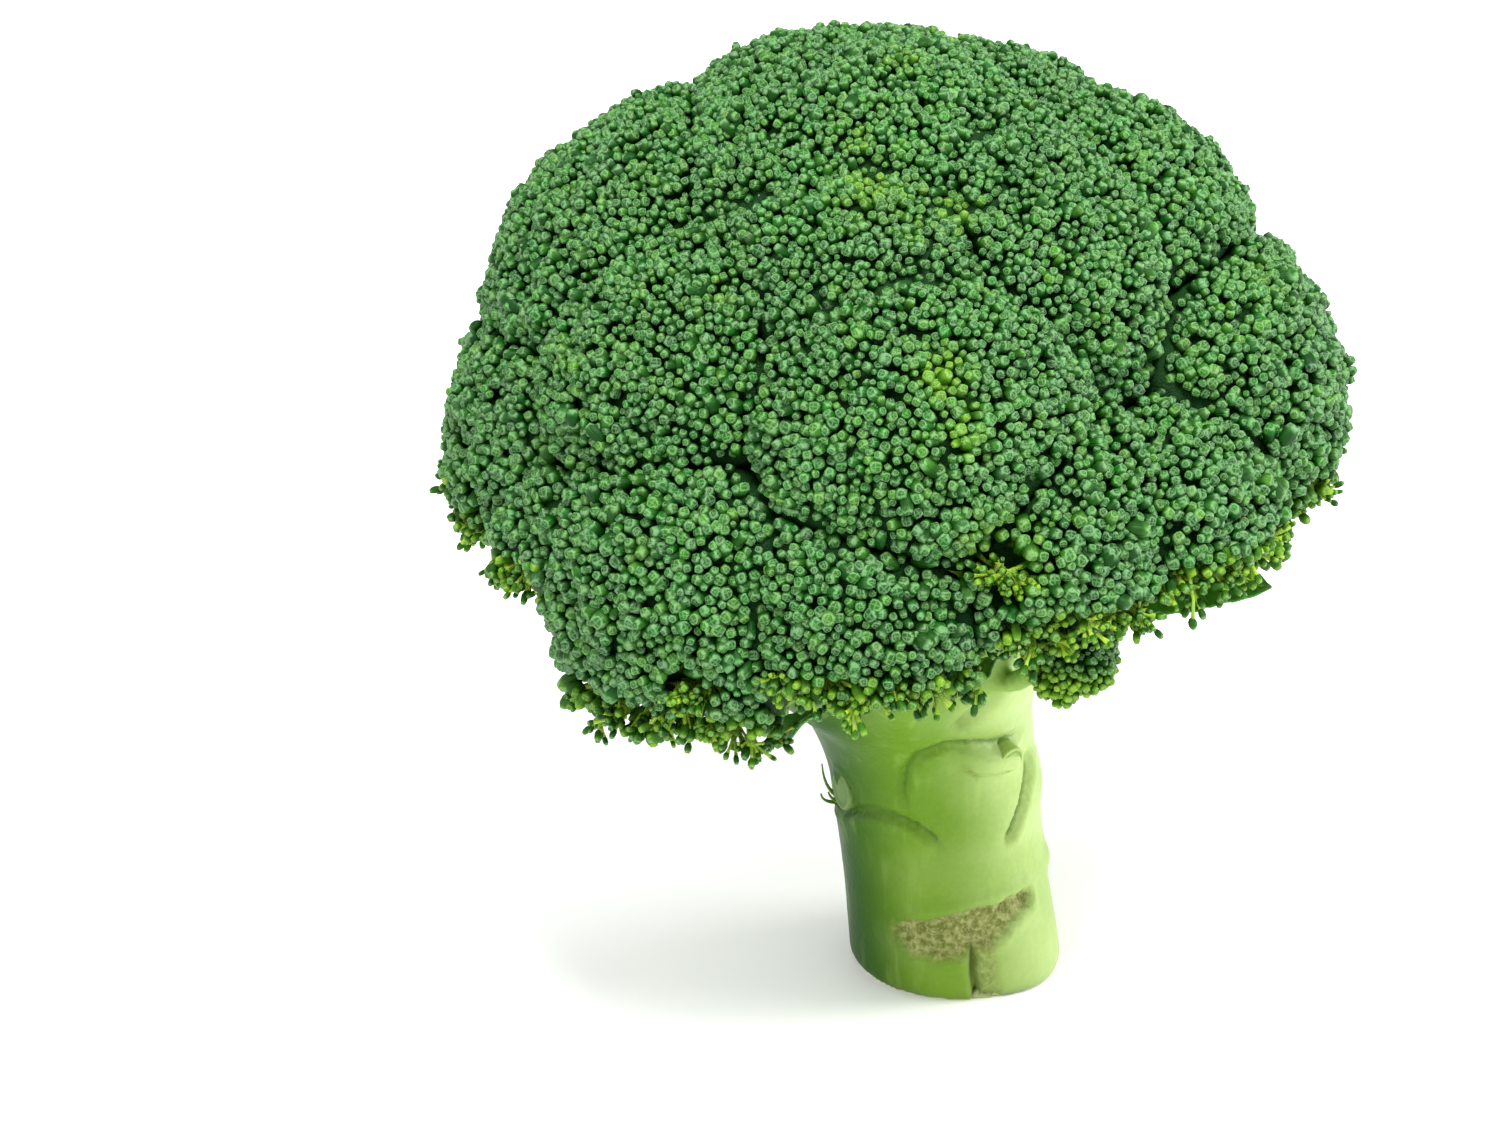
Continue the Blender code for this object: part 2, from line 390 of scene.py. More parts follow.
# %% Model the bud
def model_bud():
    bpy.ops.object.select_all(action="DESELECT")
    bpy.ops.mesh.primitive_uv_sphere_add(segments=8, ring_count=5, radius=1.0, location=(0, 0, 0))
    bud = bpy.context.active_object
    bud.name = "one_bud"
    bpy.ops.object.mode_set(mode="EDIT")
    bpy.ops.mesh.select_mode(type="VERT")
    bpy.ops.mesh.select_all(action="SELECT")
    bpy.ops.transform.resize(value=(1, 1, 1.22), center_override=(0, 0, 0))
    pick(bud, "vertices", lambda v: min(abs(v.co.x), abs(v.co.y)) < 1e-4 < max(abs(v.co.x), abs(v.co.y)))
    bpy.ops.transform.resize(value=(0.83, 0.83, 1), center_override=(0, 0, 0))
    pick(bud, "vertices", lambda v: v.co.z > 1.2)
    bpy.ops.transform.translate(value=(0, 0, -0.15))
    bpy.ops.object.mode_set(mode="OBJECT")
    return bud


one_bud = model_bud()
BUD_POINTS = corners_of(one_bud)
BUD_FACES = [list(face.vertices) for face in one_bud.data.polygons]
bpy.data.objects.remove(one_bud)
print("one bud:", len(BUD_FACES), "faces")

# %% [markdown]
# Every bud needs its own place in the material's map, so that its sepals stay sharp when the model is
# exported. The bud is laid out flat like an orange peel seen from its tip: the tip in the middle, and
# the foot all round the edge. Each copy then gets a square of its own in a grid.


# %% Lay the bud out flat
def lay_out_bud():
    """The flat place of each face corner of the bud, in a square from 0 to 1."""
    heights = BUD_POINTS[:, 2] / np.abs(BUD_POINTS[:, 2]).max()
    out = np.arccos(np.clip(heights, -1, 1)) / math.pi
    out[np.argmax(BUD_POINTS[:, 2])] = 0
    bearing = np.arctan2(BUD_POINTS[:, 1], BUD_POINTS[:, 0])
    foot = int(np.argmin(BUD_POINTS[:, 2]))
    flat = []
    for face in BUD_FACES:
        others = [corner for corner in face if corner != foot]
        middle = np.arctan2(np.sin(bearing[others]).sum(), np.cos(bearing[others]).sum())
        for corner in face:
            around, reach = (middle, 1.0) if corner == foot else (bearing[corner], out[corner])
            flat.append((0.5 + 0.48 * reach * math.cos(around), 0.5 + 0.48 * reach * math.sin(around)))
    return np.array(flat)


BUD_FLAT = lay_out_bud()
BUD_CORNERS = np.array([corner for face in BUD_FACES for corner in face])
BUD_SIZES = np.array([len(face) for face in BUD_FACES])
print("laid out", len(BUD_FLAT), "face corners")


# %% Copy the bud many times
def plant_buds(name, feet, axes, widths, lengths, turns, tints):
    """One mesh of many buds. feet are their middles, and tints hold age, bloom and shade for each."""
    count, corners = len(feet), len(BUD_POINTS)
    helper = np.where(np.abs(axes[:, 2:]) < 0.9, (0.0, 0.0, 1.0), (1.0, 0.0, 0.0))
    side = normalized(np.cross(helper, axes))
    front = np.cross(axes, side)
    turned_side = side * np.cos(turns)[:, None] + front * np.sin(turns)[:, None]
    turned_front = np.cross(axes, turned_side)
    points = (
        feet[:, None]
        + turned_side[:, None] * (BUD_POINTS[None, :, :1] * widths[:, None, None])
        + turned_front[:, None] * (BUD_POINTS[None, :, 1:2] * widths[:, None, None])
        + axes[:, None] * (BUD_POINTS[None, :, 2:] * lengths[:, None, None])
    )
    face_corners = (BUD_CORNERS[None] + corners * np.arange(count)[:, None]).ravel()
    buds = mesh_object(name, points.reshape(-1, 3), face_corners, np.tile(BUD_SIZES, count))
    write_attribute(buds, "bud_place", "FLOAT_VECTOR", np.tile(BUD_POINTS, (count, 1)))
    colours = np.column_stack([tints, np.ones(count)])
    write_attribute(buds, "bud_tint", "FLOAT_COLOR", np.repeat(colours, corners, axis=0))
    cells = math.ceil(math.sqrt(count))
    column, row = np.arange(count) % cells, np.arange(count) // cells
    corner_place = np.stack([column, row], axis=1)[:, None] + 0.03 + 0.94 * BUD_FLAT[None]
    flat = buds.data.uv_layers.new(name="OFBake")
    flat.data.foreach_set("uv", (corner_place / cells).astype(np.float32).ravel())
    return buds


print("bud copier ready")

# %% [markdown]
# ## The crown's surface
#
# Each floret's packed head is a piece of a sphere, pressed against its neighbours. The buds grow on the
# round outer face, and a few millimetres in under its lower rim. So the first step is to tell those
# faces from the flat ones where two heads meet. Every corner of the round face is equally far from one
# middle, which a least-squares fit finds.


# %% Find the round faces
HEADS = sorted(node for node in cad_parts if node.startswith("head_"))
RIM_BAND = 0.0042  # how far in under the rim the buds still grow


def sphere_through(points):
    rows = np.column_stack([2 * points, np.ones(len(points))])
    answer = np.linalg.lstsq(rows, (points**2).sum(axis=1), rcond=None)[0]
    middle = answer[:3]
    return middle, math.sqrt(max(answer[3] + middle @ middle, 0))


def fit_sphere(points):
    """Tries spheres through a few corners at a time, and keeps the one that most corners lie on."""
    rng = np.random.default_rng(5)
    best = np.zeros(len(points), bool)
    for _ in range(400):
        middle, radius = sphere_through(points[rng.choice(len(points), 4, replace=False)])
        on_it = np.abs(np.linalg.norm(points - middle, axis=1) - radius) < 2e-5
        if radius < 0.1 and on_it.sum() > best.sum():
            best = on_it
    return sphere_through(points[best])


def read_crown():
    """The round faces of all the heads, and the strips under their rims, as one surface."""
    corners, triangles, owners, under, spheres = [], [], [], [], []
    count = 0
    for number, node in enumerate(HEADS):
        points, faces = packed_piece(node)
        middle, radius = fit_sphere(points)
        spheres.append((middle, radius))
        a, b, c = points[faces].transpose(1, 0, 2)
        facing = normalized(np.cross(b - a, c - a))
        centre = (a + b + c) / 3
        radial = centre - middle
        reach = np.linalg.norm(radial, axis=1)
        round_face = (reach > 0.975 * radius) & ((facing * radial).sum(axis=1) > 0.96 * reach)
        low_face = (facing[:, 2] < -0.98) & (centre[:, 2] < points[:, 2].min() + 0.0005)
        wanted = round_face | low_face
        corners.append(points)
        triangles.append(faces[wanted] + count)
        owners.append(np.full(wanted.sum(), number))
        under.append(low_face[wanted])
        count += len(points)
    corners, triangles, owners, under = map(np.concatenate, (corners, triangles, owners, under))
    return SimpleNamespace(
        corners=corners, triangles=triangles, owner=owners, under=under, spheres=spheres,
        tree=BVHTree.FromPolygons(corners.tolist(), triangles.tolist()),
        outer_tree=BVHTree.FromPolygons(corners.tolist(), triangles[~under].tolist()),
    )


crown = read_crown()
a, b, c = crown.corners[crown.triangles].transpose(1, 0, 2)
crown_areas = np.linalg.norm(np.cross(b - a, c - a), axis=1) / 2
areas = [round(crown_areas[which].sum() * 1e4, 1) for which in (~crown.under, crown.under)]
print("round faces", areas[0], "cm2, rim faces", areas[1], "cm2")

# %% [markdown]
# ## Where each bud stands
#
# Buds crowd together without overlapping, like coins pushed about until they fit. First many random
# points are thrown on the surface and thinned, so that no two are closer than a bud's width. Then each
# point is pushed away from its nearest neighbours a few times and put back on the surface, which evens
# the packing out. Buds are finest near the top of the crown and widest low at the front.

# %% Throw and thin the points
GROWTH = np.random.default_rng(11)
CROWN_TOP = cad_high.z
CROWN_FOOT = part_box("head_low_front")[0].z


def bud_spacing(points):
    """How far apart buds stand: about 1.3 mm at the top and 1.8 mm at the front of the rim."""
    share = np.clip((points[:, 2] - CROWN_FOOT) / (CROWN_TOP - CROWN_FOOT), 0, 1)
    front = np.clip(-points[:, 1] / 0.08, -1, 1)
    patch = np.array([noise.noise(Vector(point) * 90) for point in points])
    return (0.00174 - 0.00040 * share**1.4 + 0.00010 * front) * (1 + 0.16 * patch)


def throw_points(rng, count):
    chosen = rng.choice(len(crown_areas), count, p=crown_areas / crown_areas.sum())
    u, v = rng.random((2, count))
    outside = u + v > 1
    u[outside], v[outside] = 1 - u[outside], 1 - v[outside]
    points = a[chosen] + u[:, None] * (b - a)[chosen] + v[:, None] * (c - a)[chosen]
    return points, chosen


def tree_of(points):
    tree = KDTree(len(points))
    for number, point in enumerate(points):
        tree.insert(point, number)
    tree.balance()
    return tree


def thin_out(rng, points, spacing):
    """Keeps points in a random order, and drops those closer to a kept one than its spacing."""
    tree = tree_of(points)
    free = np.ones(len(points), bool)
    kept = []
    for number in rng.permutation(len(points)):
        if free[number]:
            kept.append(number)
            for _, near, _ in tree.find_range(points[number], spacing[number]):
                free[near] = False
    return np.array(kept)


THROWS = 140000
thrown, thrown_face = throw_points(GROWTH, THROWS)
far_under = np.zeros(len(thrown), bool)
for number in np.flatnonzero(crown.under[thrown_face]):
    far_under[number] = crown.outer_tree.find_nearest(thrown[number])[3] > RIM_BAND
thrown = thrown[~far_under]
kept = thin_out(GROWTH, thrown, bud_spacing(thrown) * 0.80)
bud_points = thrown[kept]
print("buds", len(bud_points), "from", len(thrown), "points")


# %% Push them apart
def spread(points, rounds):
    """Pushes each point away from near ones, back on the crown's surface after each round."""
    neighbours, firmness = 7, 0.28
    for _ in range(rounds):
        tree = tree_of(points)
        spacing = bud_spacing(points)
        moved = []
        for number, point in enumerate(points):
            here = Vector(point)
            push = Vector()
            for near, other, distance in tree.find_n(here, neighbours):
                if other != number and distance < spacing[number] * 1.1:
                    away = (here - near) / max(distance, 1e-6)
                    push += away * (spacing[number] * 1.1 - distance) * firmness
            moved.append(crown.tree.find_nearest(here + push)[0])
        points = np.array(moved)
    return points


bud_points = spread(bud_points, 8)
nearest = [crown.tree.find_nearest(Vector(point)) for point in bud_points]
bud_owner = np.array([crown.owner[found[2]] for found in nearest])
bud_is_under = np.array([crown.under[found[2]] for found in nearest])
bud_tree = tree_of(bud_points)
bud_room = np.array([np.mean([found[2] for found in bud_tree.find_n(point, 6)[1:]]) for point in bud_points])
print("buds stand", round(bud_room.mean() * 1000, 2), "mm apart on average")

# %% [markdown]
# Within a floret the buds grow in little sprigs about a centimetre wide. Each sprig is a low mound: its
# buds lean outward from the mound's middle, and the narrow valley between two sprigs is dark. The
# mounds are what make a crown look knobbly and not like a smooth ball covered in beads.

# %% Mounds and leans
SPRIG_WIDTH = 0.0090
MOUND_HEIGHT = 0.0012
CREASE_DEPTH = 0.0016
CREASE_WIDTH = 0.0023

sprig_middles = bud_points[thin_out(GROWTH, bud_points, np.full(len(bud_points), SPRIG_WIDTH * 0.78))]
sprig_tree = tree_of(sprig_middles)
sprig_found = [sprig_tree.find(point) for point in bud_points]
sprig_of = np.array([found[1] for found in sprig_found])
out_from_middle = bud_points - sprig_middles[sprig_of]
sprig_reach = np.linalg.norm(out_from_middle, axis=1) / (SPRIG_WIDTH * 0.62)

sphere_middles = np.array([crown.spheres[number][0] for number in bud_owner])
bud_facing = normalized(bud_points - sphere_middles)
bud_facing[bud_is_under] = normalized(bud_facing[bud_is_under] + (0, 0, -0.9))

# How far each bud is from the crease between its floret and the next one.
crease_away = np.full(len(bud_points), 0.02)
for number, point in enumerate(bud_points):
    for _, other, distance in bud_tree.find_n(point, 48):
        if bud_owner[other] != bud_owner[number]:
            crease_away[number] = distance
            break
print("sprigs", len(sprig_middles), "buds beside a crease", int((crease_away < 0.003).sum()))

# %% [markdown]
# ## Age and colour of each bud
#
# Most buds are blue-green. Where they are about to open, or grow in the shade of a crease, they turn
# yellow-green, and the loose buds under the rim are the yellowest. A few have a dull purple-grey bloom.
# Each bud keeps three numbers for its material: its age, its bloom and how light it is.

# %% Age, bloom and shade
CROWN_MIDDLE = np.array([HEAD_MIDDLE.x, HEAD_MIDDLE.y, 0.100])
# Yellowing spots: a bearing and a tilt from upright in degrees, how wide in metres, how strong.
YELLOW_SPOTS = (
    (-96, 31, 0.0052, 0.8), (-88, 35, 0.0036, 0.5), (-78, 33, 0.0034, 0.7), (-120, 48, 0.0030, 0.4),
    (-142, 61, 0.0030, 0.4), (-85, 56, 0.0046, 0.9), (-83, 63, 0.0040, 0.7), (-91, 8, 0.0036, 0.5),
    (-78, 78, 0.0062, 0.8), (-104, 24, 0.0032, 0.4), (40, 50, 0.0042, 0.7), (95, 62, 0.0040, 0.7),
    (150, 40, 0.0042, 0.6), (-20, 55, 0.0036, 0.5), (70, 25, 0.0040, 0.6),
)


def crown_point(bearing, tilt):
    """The point on the crown's surface that lies in a direction from its middle."""
    around, lean = math.radians(bearing), math.radians(tilt)
    out = Vector((math.sin(lean) * math.cos(around), math.sin(lean) * math.sin(around), math.cos(lean)))
    return crown.tree.ray_cast(Vector(CROWN_MIDDLE) + out * 0.2, -out)[0]


count = len(bud_points)
spot_age = np.zeros(count)
for bearing, tilt, width, strength in YELLOW_SPOTS:
    spot = crown_point(bearing, tilt)
    if spot is not None:
        away = np.linalg.norm(bud_points - np.array(spot), axis=1)
        spot_age = np.maximum(spot_age, strength * np.exp(-((away / width) ** 2)))
rim_height = np.array([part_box(node)[0].z for node in HEADS])[bud_owner]
above_rim = bud_points[:, 2] - rim_height


def hangs_free(number):
    """True for a bud with no other buds below it."""
    here = bud_points[number]
    below = [near for near, _, _ in bud_tree.find_range(here, 0.007) if near.z < here[2] - 0.0030]
    return len(below) < 3


near_rim = np.array([above_rim[number] < 0.014 and hangs_free(number) for number in range(count)])
on_rim = near_rim & (above_rim < 0.007)
rim_age = np.where(on_rim, 0.60 * (1 - eased(above_rim, 0.0, 0.0075)) + 0.10, 0.0)
rim_age = rim_age + np.where(near_rim, 0.22 * (1 - eased(above_rim, 0.004, 0.014)), 0.0)
bud_age = np.maximum(spot_age, rim_age) * GROWTH.uniform(0.1, 1.15, count)
bud_age = np.clip(bud_age + GROWTH.normal(0.06, 0.07, count), 0, 1)
bud_bloom = np.clip(GROWTH.normal(0.22, 0.22, count), 0, 1) * (1 - bud_age)
patches = np.array([noise.noise(Vector(point) * 55) for point in bud_points])
bud_shade = np.clip(GROWTH.normal(0.5, 0.20, count) + 0.25 * patches, 0, 1)
print("yellowing buds", int((bud_age > 0.4).sum()))

# %% Size, lean and height of each bud
plump = GROWTH.normal(1.32, 0.21, count).clip(0.82, 1.85)
plump[GROWTH.random(count) < 0.10] *= 0.72
widths = bud_room * 0.5 * plump
lengths = widths * GROWTH.normal(1.24, 0.18, count).clip(0.95, 1.7)
tilt_out = (0.55 * np.clip(sprig_reach, 0, 1.3) ** 1.3)[:, None]
lean = normalized(bud_facing + normalized(out_from_middle) * tilt_out + GROWTH.normal(0, 0.32, (count, 3)))
mound = MOUND_HEIGHT * (0.55 - 1.25 * np.clip(sprig_reach, 0, 1.25) ** 2)
crease = CREASE_DEPTH * np.exp(-((crease_away / CREASE_WIDTH) ** 2))
swell = 0.0011 * np.array([noise.noise(Vector(point) * 75) for point in bud_points])
ragged_rim = GROWTH.uniform(-0.0022, 0.0004, count) * (1 - eased(above_rim, 0, 0.006))
lift = mound + swell - crease + GROWTH.normal(0, 0.00042, count) - spot_age * 0.0007
bud_middles = bud_points + bud_facing * lift[:, None] - lean * (lengths * 0.95)[:, None]
sprig_drop = GROWTH.uniform(-0.0036, 0.0020, len(sprig_middles))[sprig_of]
sprig_drop = np.where(on_rim | bud_is_under, sprig_drop, 0) * (1 - eased(above_rim, 0.001, 0.010))
bud_middles[:, 2] += np.where(on_rim, ragged_rim, 0) + sprig_drop
low_rim = np.where(on_rim, 1 - eased(above_rim, 0.002, 0.006), 0)
widths = widths * (1 - 0.26 * low_rim)
lengths = lengths * (1 - 0.20 * low_rim)
turns = GROWTH.uniform(0, math.tau, count)
tints = np.column_stack([bud_age, bud_bloom, bud_shade])
print("bud widths", np.round(np.percentile(widths * 2000, (5, 50, 95)), 2), "mm")

# %% [markdown]
# ## Bud finish
#
# A bud's skin is matt with a faint waxy bloom. The four sepals meet in thin pale lines, and a pale ring
# round the shoulder is partly the sepals' edges and partly a painted highlight. The sides grow darker
# towards the foot, which is painted shade where the buds crowd together. The material reads the bud's
# own shape from `bud_place`, so the lines stay on every copy whichever way it is turned, and its age
# from `bud_tint`.


# %% Bud material
def build_bud_material():
    material, paint = new_material("bud_skin", 0.50, specular=0.12)
    x, y, z = paint.parts(paint.stored("bud_place", "Vector"))
    age, bloom, shade = paint.channels("bud_tint")
    # The sepals' edges: where the bud's own x or y is nearly nothing, and a ring round the shoulder that is
    # partly a painted highlight.
    across = paint.figure("MINIMUM", paint.size(x), paint.size(y))
    line = paint.step(across, 0.12, 0.03)
    reach = paint.figure("SQRT", paint.plus(paint.times(x, x), paint.times(y, y)))
    wobble = paint.noise(paint.place(), Scale=800.0, Detail=1.0)
    bent = paint.plus(reach, paint.times(paint.figure("SUBTRACT", wobble, 0.5), 1.1))
    ring = paint.times(paint.step(bent, 0.30, 0.52), paint.step(bent, 0.78, 0.56))
    edges_and_highlight = paint.figure("MAXIMUM", paint.times(line, 0.5), ring)
    seams_and_highlight = paint.times(edges_and_highlight, paint.step(z, 0.25, 0.85))
    young = paint.blend(bloom, paint.blend(shade, (1, 40, 2), (22, 87, 13)), (38, 64, 36))
    old = paint.blend(shade, (38, 92, 4), (104, 142, 22))
    skin = paint.blend(age, young, old)
    # Painted shade: the sides darken towards the foot, where the buds crowd together.
    foot = paint.times(paint.step(z, 0.75, 0.0), 0.9)
    with_painted_foot_shade = paint.blend(foot, skin, paint.blend(age, (1, 46, 1), (40, 84, 2)))
    # The pale lines are the sepals' edges; the ring is partly their edges and partly a painted highlight.
    pale = paint.blend(age, (142, 192, 134), (150, 178, 76))
    coloured = paint.blend(paint.times(seams_and_highlight, 0.31), with_painted_foot_shade, pale)
    relief = paint.figure("SUBTRACT", paint.plus(1.0, paint.times(ring, 0.8)), line)
    paint.cover(coloured, relief, 0.00012, 0.7)
    return material


BUD_SKIN = build_bud_material()
print("bud skin", len(BUD_SKIN.node_tree.nodes), "nodes")

# %% [markdown]
# ## Loose sprays under the rim
#
# Round the lower rim the crown isn't closed: little sprays hang out of it, each a pale twig that splits
# into a fan of threads, and every thread ends in a bud with a green tip. The threads and twigs are
# tapered tubes along a bow. A tube is closed at both ends, and its sides grow from a line of points by
# carrying one sideways vector along it.


# %% A tapered tube
def bow(start, bend, end, shares):
    """Points on the smooth bow from start to end that a bend point pulls aside."""
    return [(1 - t) ** 2 * start + 2 * t * (1 - t) * bend + t * t * end for t in shares]


def raised(height):
    return np.array((0, 0, height))


def tube(path, radii, sides):
    """Points and four-cornered and three-cornered faces of a closed tube along a path."""
    path = np.asarray(path, float)
    along = normalized(np.gradient(path, axis=0))
    helper = np.array((0.0, 0.0, 1.0)) if abs(along[0, 2]) < 0.9 else np.array((1.0, 0.0, 0.0))
    side = normalized(np.cross(helper, along[0]))
    rings = []
    for point, way, radius in zip(path, along, radii):
        side = normalized(side - way * (side @ way))
        up = np.cross(way, side)
        around = math.tau * np.arange(sides) / sides
        rings.append(point + radius * (np.cos(around)[:, None] * side + np.sin(around)[:, None] * up))
    ends = [path[:1] - along[:1] * radii[0] * 0.3, path[-1:] + along[-1:] * radii[-1] * 0.3]
    points = np.concatenate(rings + ends)
    faces = []
    for ring in range(len(path) - 1):
        for i in range(sides):
            j = (i + 1) % sides
            low, high = ring * sides, (ring + 1) * sides
            faces.append((low + i, low + j, high + j, high + i))
    first, last, top = len(points) - 2, len(points) - 1, (len(path) - 1) * sides
    for i in range(sides):
        j = (i + 1) % sides
        faces.append((first, j, i))
        faces.append((last, top + i, top + j))
    return points, faces


def gather(name, parts):
    """One object of many tubes, with a value for each of their points."""
    points, corners, sizes, values, count = [], [], [], [], 0
    for part_points, part_faces, part_values in parts:
        points.append(part_points)
        corners += [corner + count for face in part_faces for corner in face]
        sizes += [len(face) for face in part_faces]
        values.append(np.broadcast_to(part_values, len(part_points)))
        count += len(part_points)
    made = mesh_object(name, np.concatenate(points), corners, np.array(sizes))
    write_attribute(made, "tone_and_painted_shade", "FLOAT", np.concatenate(values))
    return made


print("tube maker ready")


# %% Grow the sprays
SPRAY_GROWTH = np.random.default_rng(47)
# Clefts where the crown gapes and shows its twigs: bearing, tilt, and half width in metres.
CLEFTS = ((-78, 80, 0.0042), (-116, 97, 0.0040), (-52, 86, 0.0030), (35, 82, 0.0036), (140, 84, 0.0040))


def grow_spray(rng, root, middle, way, threads, reach):
    """A twig from root to middle, and a fan of threads beyond it. Returns tubes and bud rows."""
    tubes, rows = [], []
    ripe = rng.random() < 0.5
    path = bow(root, (root + middle) / 2 + raised(-0.0006), middle, np.linspace(0, 1, 5))
    tubes.append((*tube(path, np.linspace(0.0012, 0.00075, 5), 7), 0.30))
    thread_radii = np.array((0.00036, 0.00028, 0.00026, 0.00040)) * (1.35 if ripe else 1.0)
    for _ in range(threads):
        back = rng.uniform(0, 0.45)
        start = middle + (root - middle) * back
        out = normalized(way + rng.normal(0, 0.55, 3))
        long = reach * rng.uniform(0.6, 1.15)
        tip = start + out * long
        path = bow(start, (start + tip) / 2 + normalized(way) * long * 0.12, tip, (0, 0.35, 0.7, 1))
        tubes.append((*tube(path, thread_radii, 5), rng.uniform(0.5, 0.95)))
        half = rng.uniform(0.00048, 0.00080)
        aim = normalized(path[-1] - path[-2])
        length = half * rng.uniform(1.15, 1.5)
        age = rng.uniform(0.5, 1.0) if ripe else rng.uniform(0.10, 0.50)
        shade = rng.uniform(0.3, 1.0) if ripe else rng.uniform(0.15, 0.65)
        rows.append((*(tip + aim * half * 0.8), *aim, half, length, age, 0.05, shade))
    return tubes, rows


def keep_spray(owner, tubes, rows):
    sprays[owner][0].extend(tubes)
    sprays[owner][1].extend(rows)


SPRAY_GAP = 0.0046
rim_buds = np.flatnonzero(on_rim & (above_rim < 0.0025))
spray_feet = rim_buds[thin_out(SPRAY_GROWTH, bud_points[rim_buds], np.full(len(rim_buds), SPRAY_GAP))]
sprays = [([], []) for _ in HEADS]
for foot in spray_feet:
    outward = normalized(bud_facing[foot] * (1, 1, 0))
    middle = bud_points[foot] - outward * SPRAY_GROWTH.uniform(0.0008, 0.0032)
    middle = middle + raised(SPRAY_GROWTH.uniform(-0.0032, 0.0))
    root = middle - outward * 0.007 + raised(0.0030)
    way = normalized(outward + raised(SPRAY_GROWTH.uniform(-1.4, -0.3)))
    threads = int(SPRAY_GROWTH.integers(9, 16))
    keep_spray(bud_owner[foot], *grow_spray(SPRAY_GROWTH, root, middle, way, threads, 0.0040))

in_cleft = np.zeros(count, bool)
cleft_spots = []
for bearing, tilt, half_width in CLEFTS:
    spot = crown_point(bearing, tilt)
    if spot is None:
        continue
    spot = np.array(spot)
    cleft_spots.append((spot, half_width))
    nearest_bud = bud_tree.find(spot)[1]
    in_cleft |= np.linalg.norm((bud_points - spot) * (1, 1, 0.7), axis=1) < half_width
    outward = bud_facing[nearest_bud]
    for shift in (-0.7, -0.25, 0.2, 0.6):
        sideways = np.cross(outward, (0, 0, 1)) * half_width * shift
        root = spot - outward * 0.011 + raised(-0.004) + sideways * 0.4
        middle = spot - outward * 0.0034 + sideways
        keep_spray(bud_owner[nearest_bud], *grow_spray(SPRAY_GROWTH, root, middle, outward, 11, 0.0048))
# A few buds hang by themselves on long threads: bearing, how far out, and how far down.
for bearing, out, down in (
    (-52, 0.0014, 0.0086), (-150, 0.0010, 0.0040), (30, 0.0016, 0.0055), (120, 0.0010, 0.0050),
):
    around = np.array((math.cos(math.radians(bearing)), math.sin(math.radians(bearing)), 0.0))
    sideways = np.cross(around, (0, 0, 1.0))
    from_middle = bud_points[rim_buds] - CROWN_MIDDLE
    foot = rim_buds[np.argmax(from_middle @ around - 3 * np.abs(from_middle @ sideways))]
    start = bud_points[foot] - around * 0.002
    tip = start + around * out + raised(-down)
    path = [start, (start + tip) / 2 + around * 0.0006, tip]
    thread = (*tube(path, (0.00034, 0.00028, 0.00040), 6), 0.6)
    keep_spray(bud_owner[foot], [thread], [(*tip, 0.2, 0, -1.0, 0.0008, 0.0010, 0.3, 0.1, 0.6)])
print("sprays", len(spray_feet), "with", sum(len(rows) for _, rows in sprays), "buds")
print("buds left out of clefts", int(in_cleft.sum()))

# %% Plant every floret's buds
for number, node in enumerate(HEADS):
    mine = (bud_owner == number) & ~in_cleft
    rows = np.array(sprays[number][1]).reshape(-1, 11)
    crown_rows = (bud_middles, lean, widths, lengths, turns, tints)
    spray_rows = (rows[:, 0:3], rows[:, 3:6], rows[:, 6], rows[:, 7], rows[:, 8] * 40, rows[:, 8:11])
    both = [np.concatenate([values[mine], more]) for values, more in zip(crown_rows, spray_rows)]
    buds = plant_buds("buds_" + node[5:], *both)
    hand_over(buds, BUD_SKIN, "buds", node)
    print(buds.name, len(buds.data.polygons) // len(BUD_FACES), "buds")

# %% [markdown]
# ## The bed under the buds
#
# Behind the buds the floret is a dense brush of short twigs, pale green where it shows from below.
# Between the buds it is painted shade, a very dark green. A copy of each packed head gives this bed its
# shape. Its skin is drawn in by more than a bud's length, but its sides stay, so that no light comes
# through between two florets.


# %% Copy imported pieces
def copy_packed(node, name):
    """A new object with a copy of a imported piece's mesh, its loose corners merged."""
    points, faces = packed_piece(node)
    return mesh_object(name, points, faces.ravel(), np.full(len(faces), 3))


def join_pieces(name, pieces):
    take_up(pieces[0])
    for piece in pieces:
        piece.select_set(True)
    if len(pieces) > 1:
        bpy.ops.object.join()
    pieces[0].name = name
    return pieces[0]


BED_DEPTH = 0.0028


def build_bed(node):
    """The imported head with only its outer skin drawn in, so that neighbouring beds still meet."""
    bed = copy_packed(node, "bed_" + node[5:])
    apply_modifier(bed, "REMESH", mode="VOXEL", voxel_size=0.0014, use_smooth_shade=True)
    points = corners_of(bed)
    wanted_depth = np.full(len(points), BED_DEPTH)
    for spot, half_width in cleft_spots:
        away = np.linalg.norm(points - spot, axis=1)
        wanted_depth += 0.0050 * (1 - eased(away, half_width, half_width * 2.2))
    for number, point in enumerate(points):
        near, outward, _, away = crown.tree.find_nearest(Vector(point))
        if away < wanted_depth[number]:
            points[number] = near - outward * wanted_depth[number]
    move_corners(bed, points)
    apply_modifier(bed, "SMOOTH", iterations=4, factor=0.6)
    apply_modifier(bed, "REMESH", mode="VOXEL", voxel_size=0.0015, use_smooth_shade=True)
    return bed


beds = {node: build_bed(node) for node in HEADS}
print("bed faces", sum(len(bed.data.polygons) for bed in beds.values()))

# %% [markdown]
# ## Twigs
#
# From the end of each stem, branchlets fan out under the floret to its rim, and from their ends thin
# twigs carry the loose rim buds. Each one is a tapered tube, like the threads of the sprays.


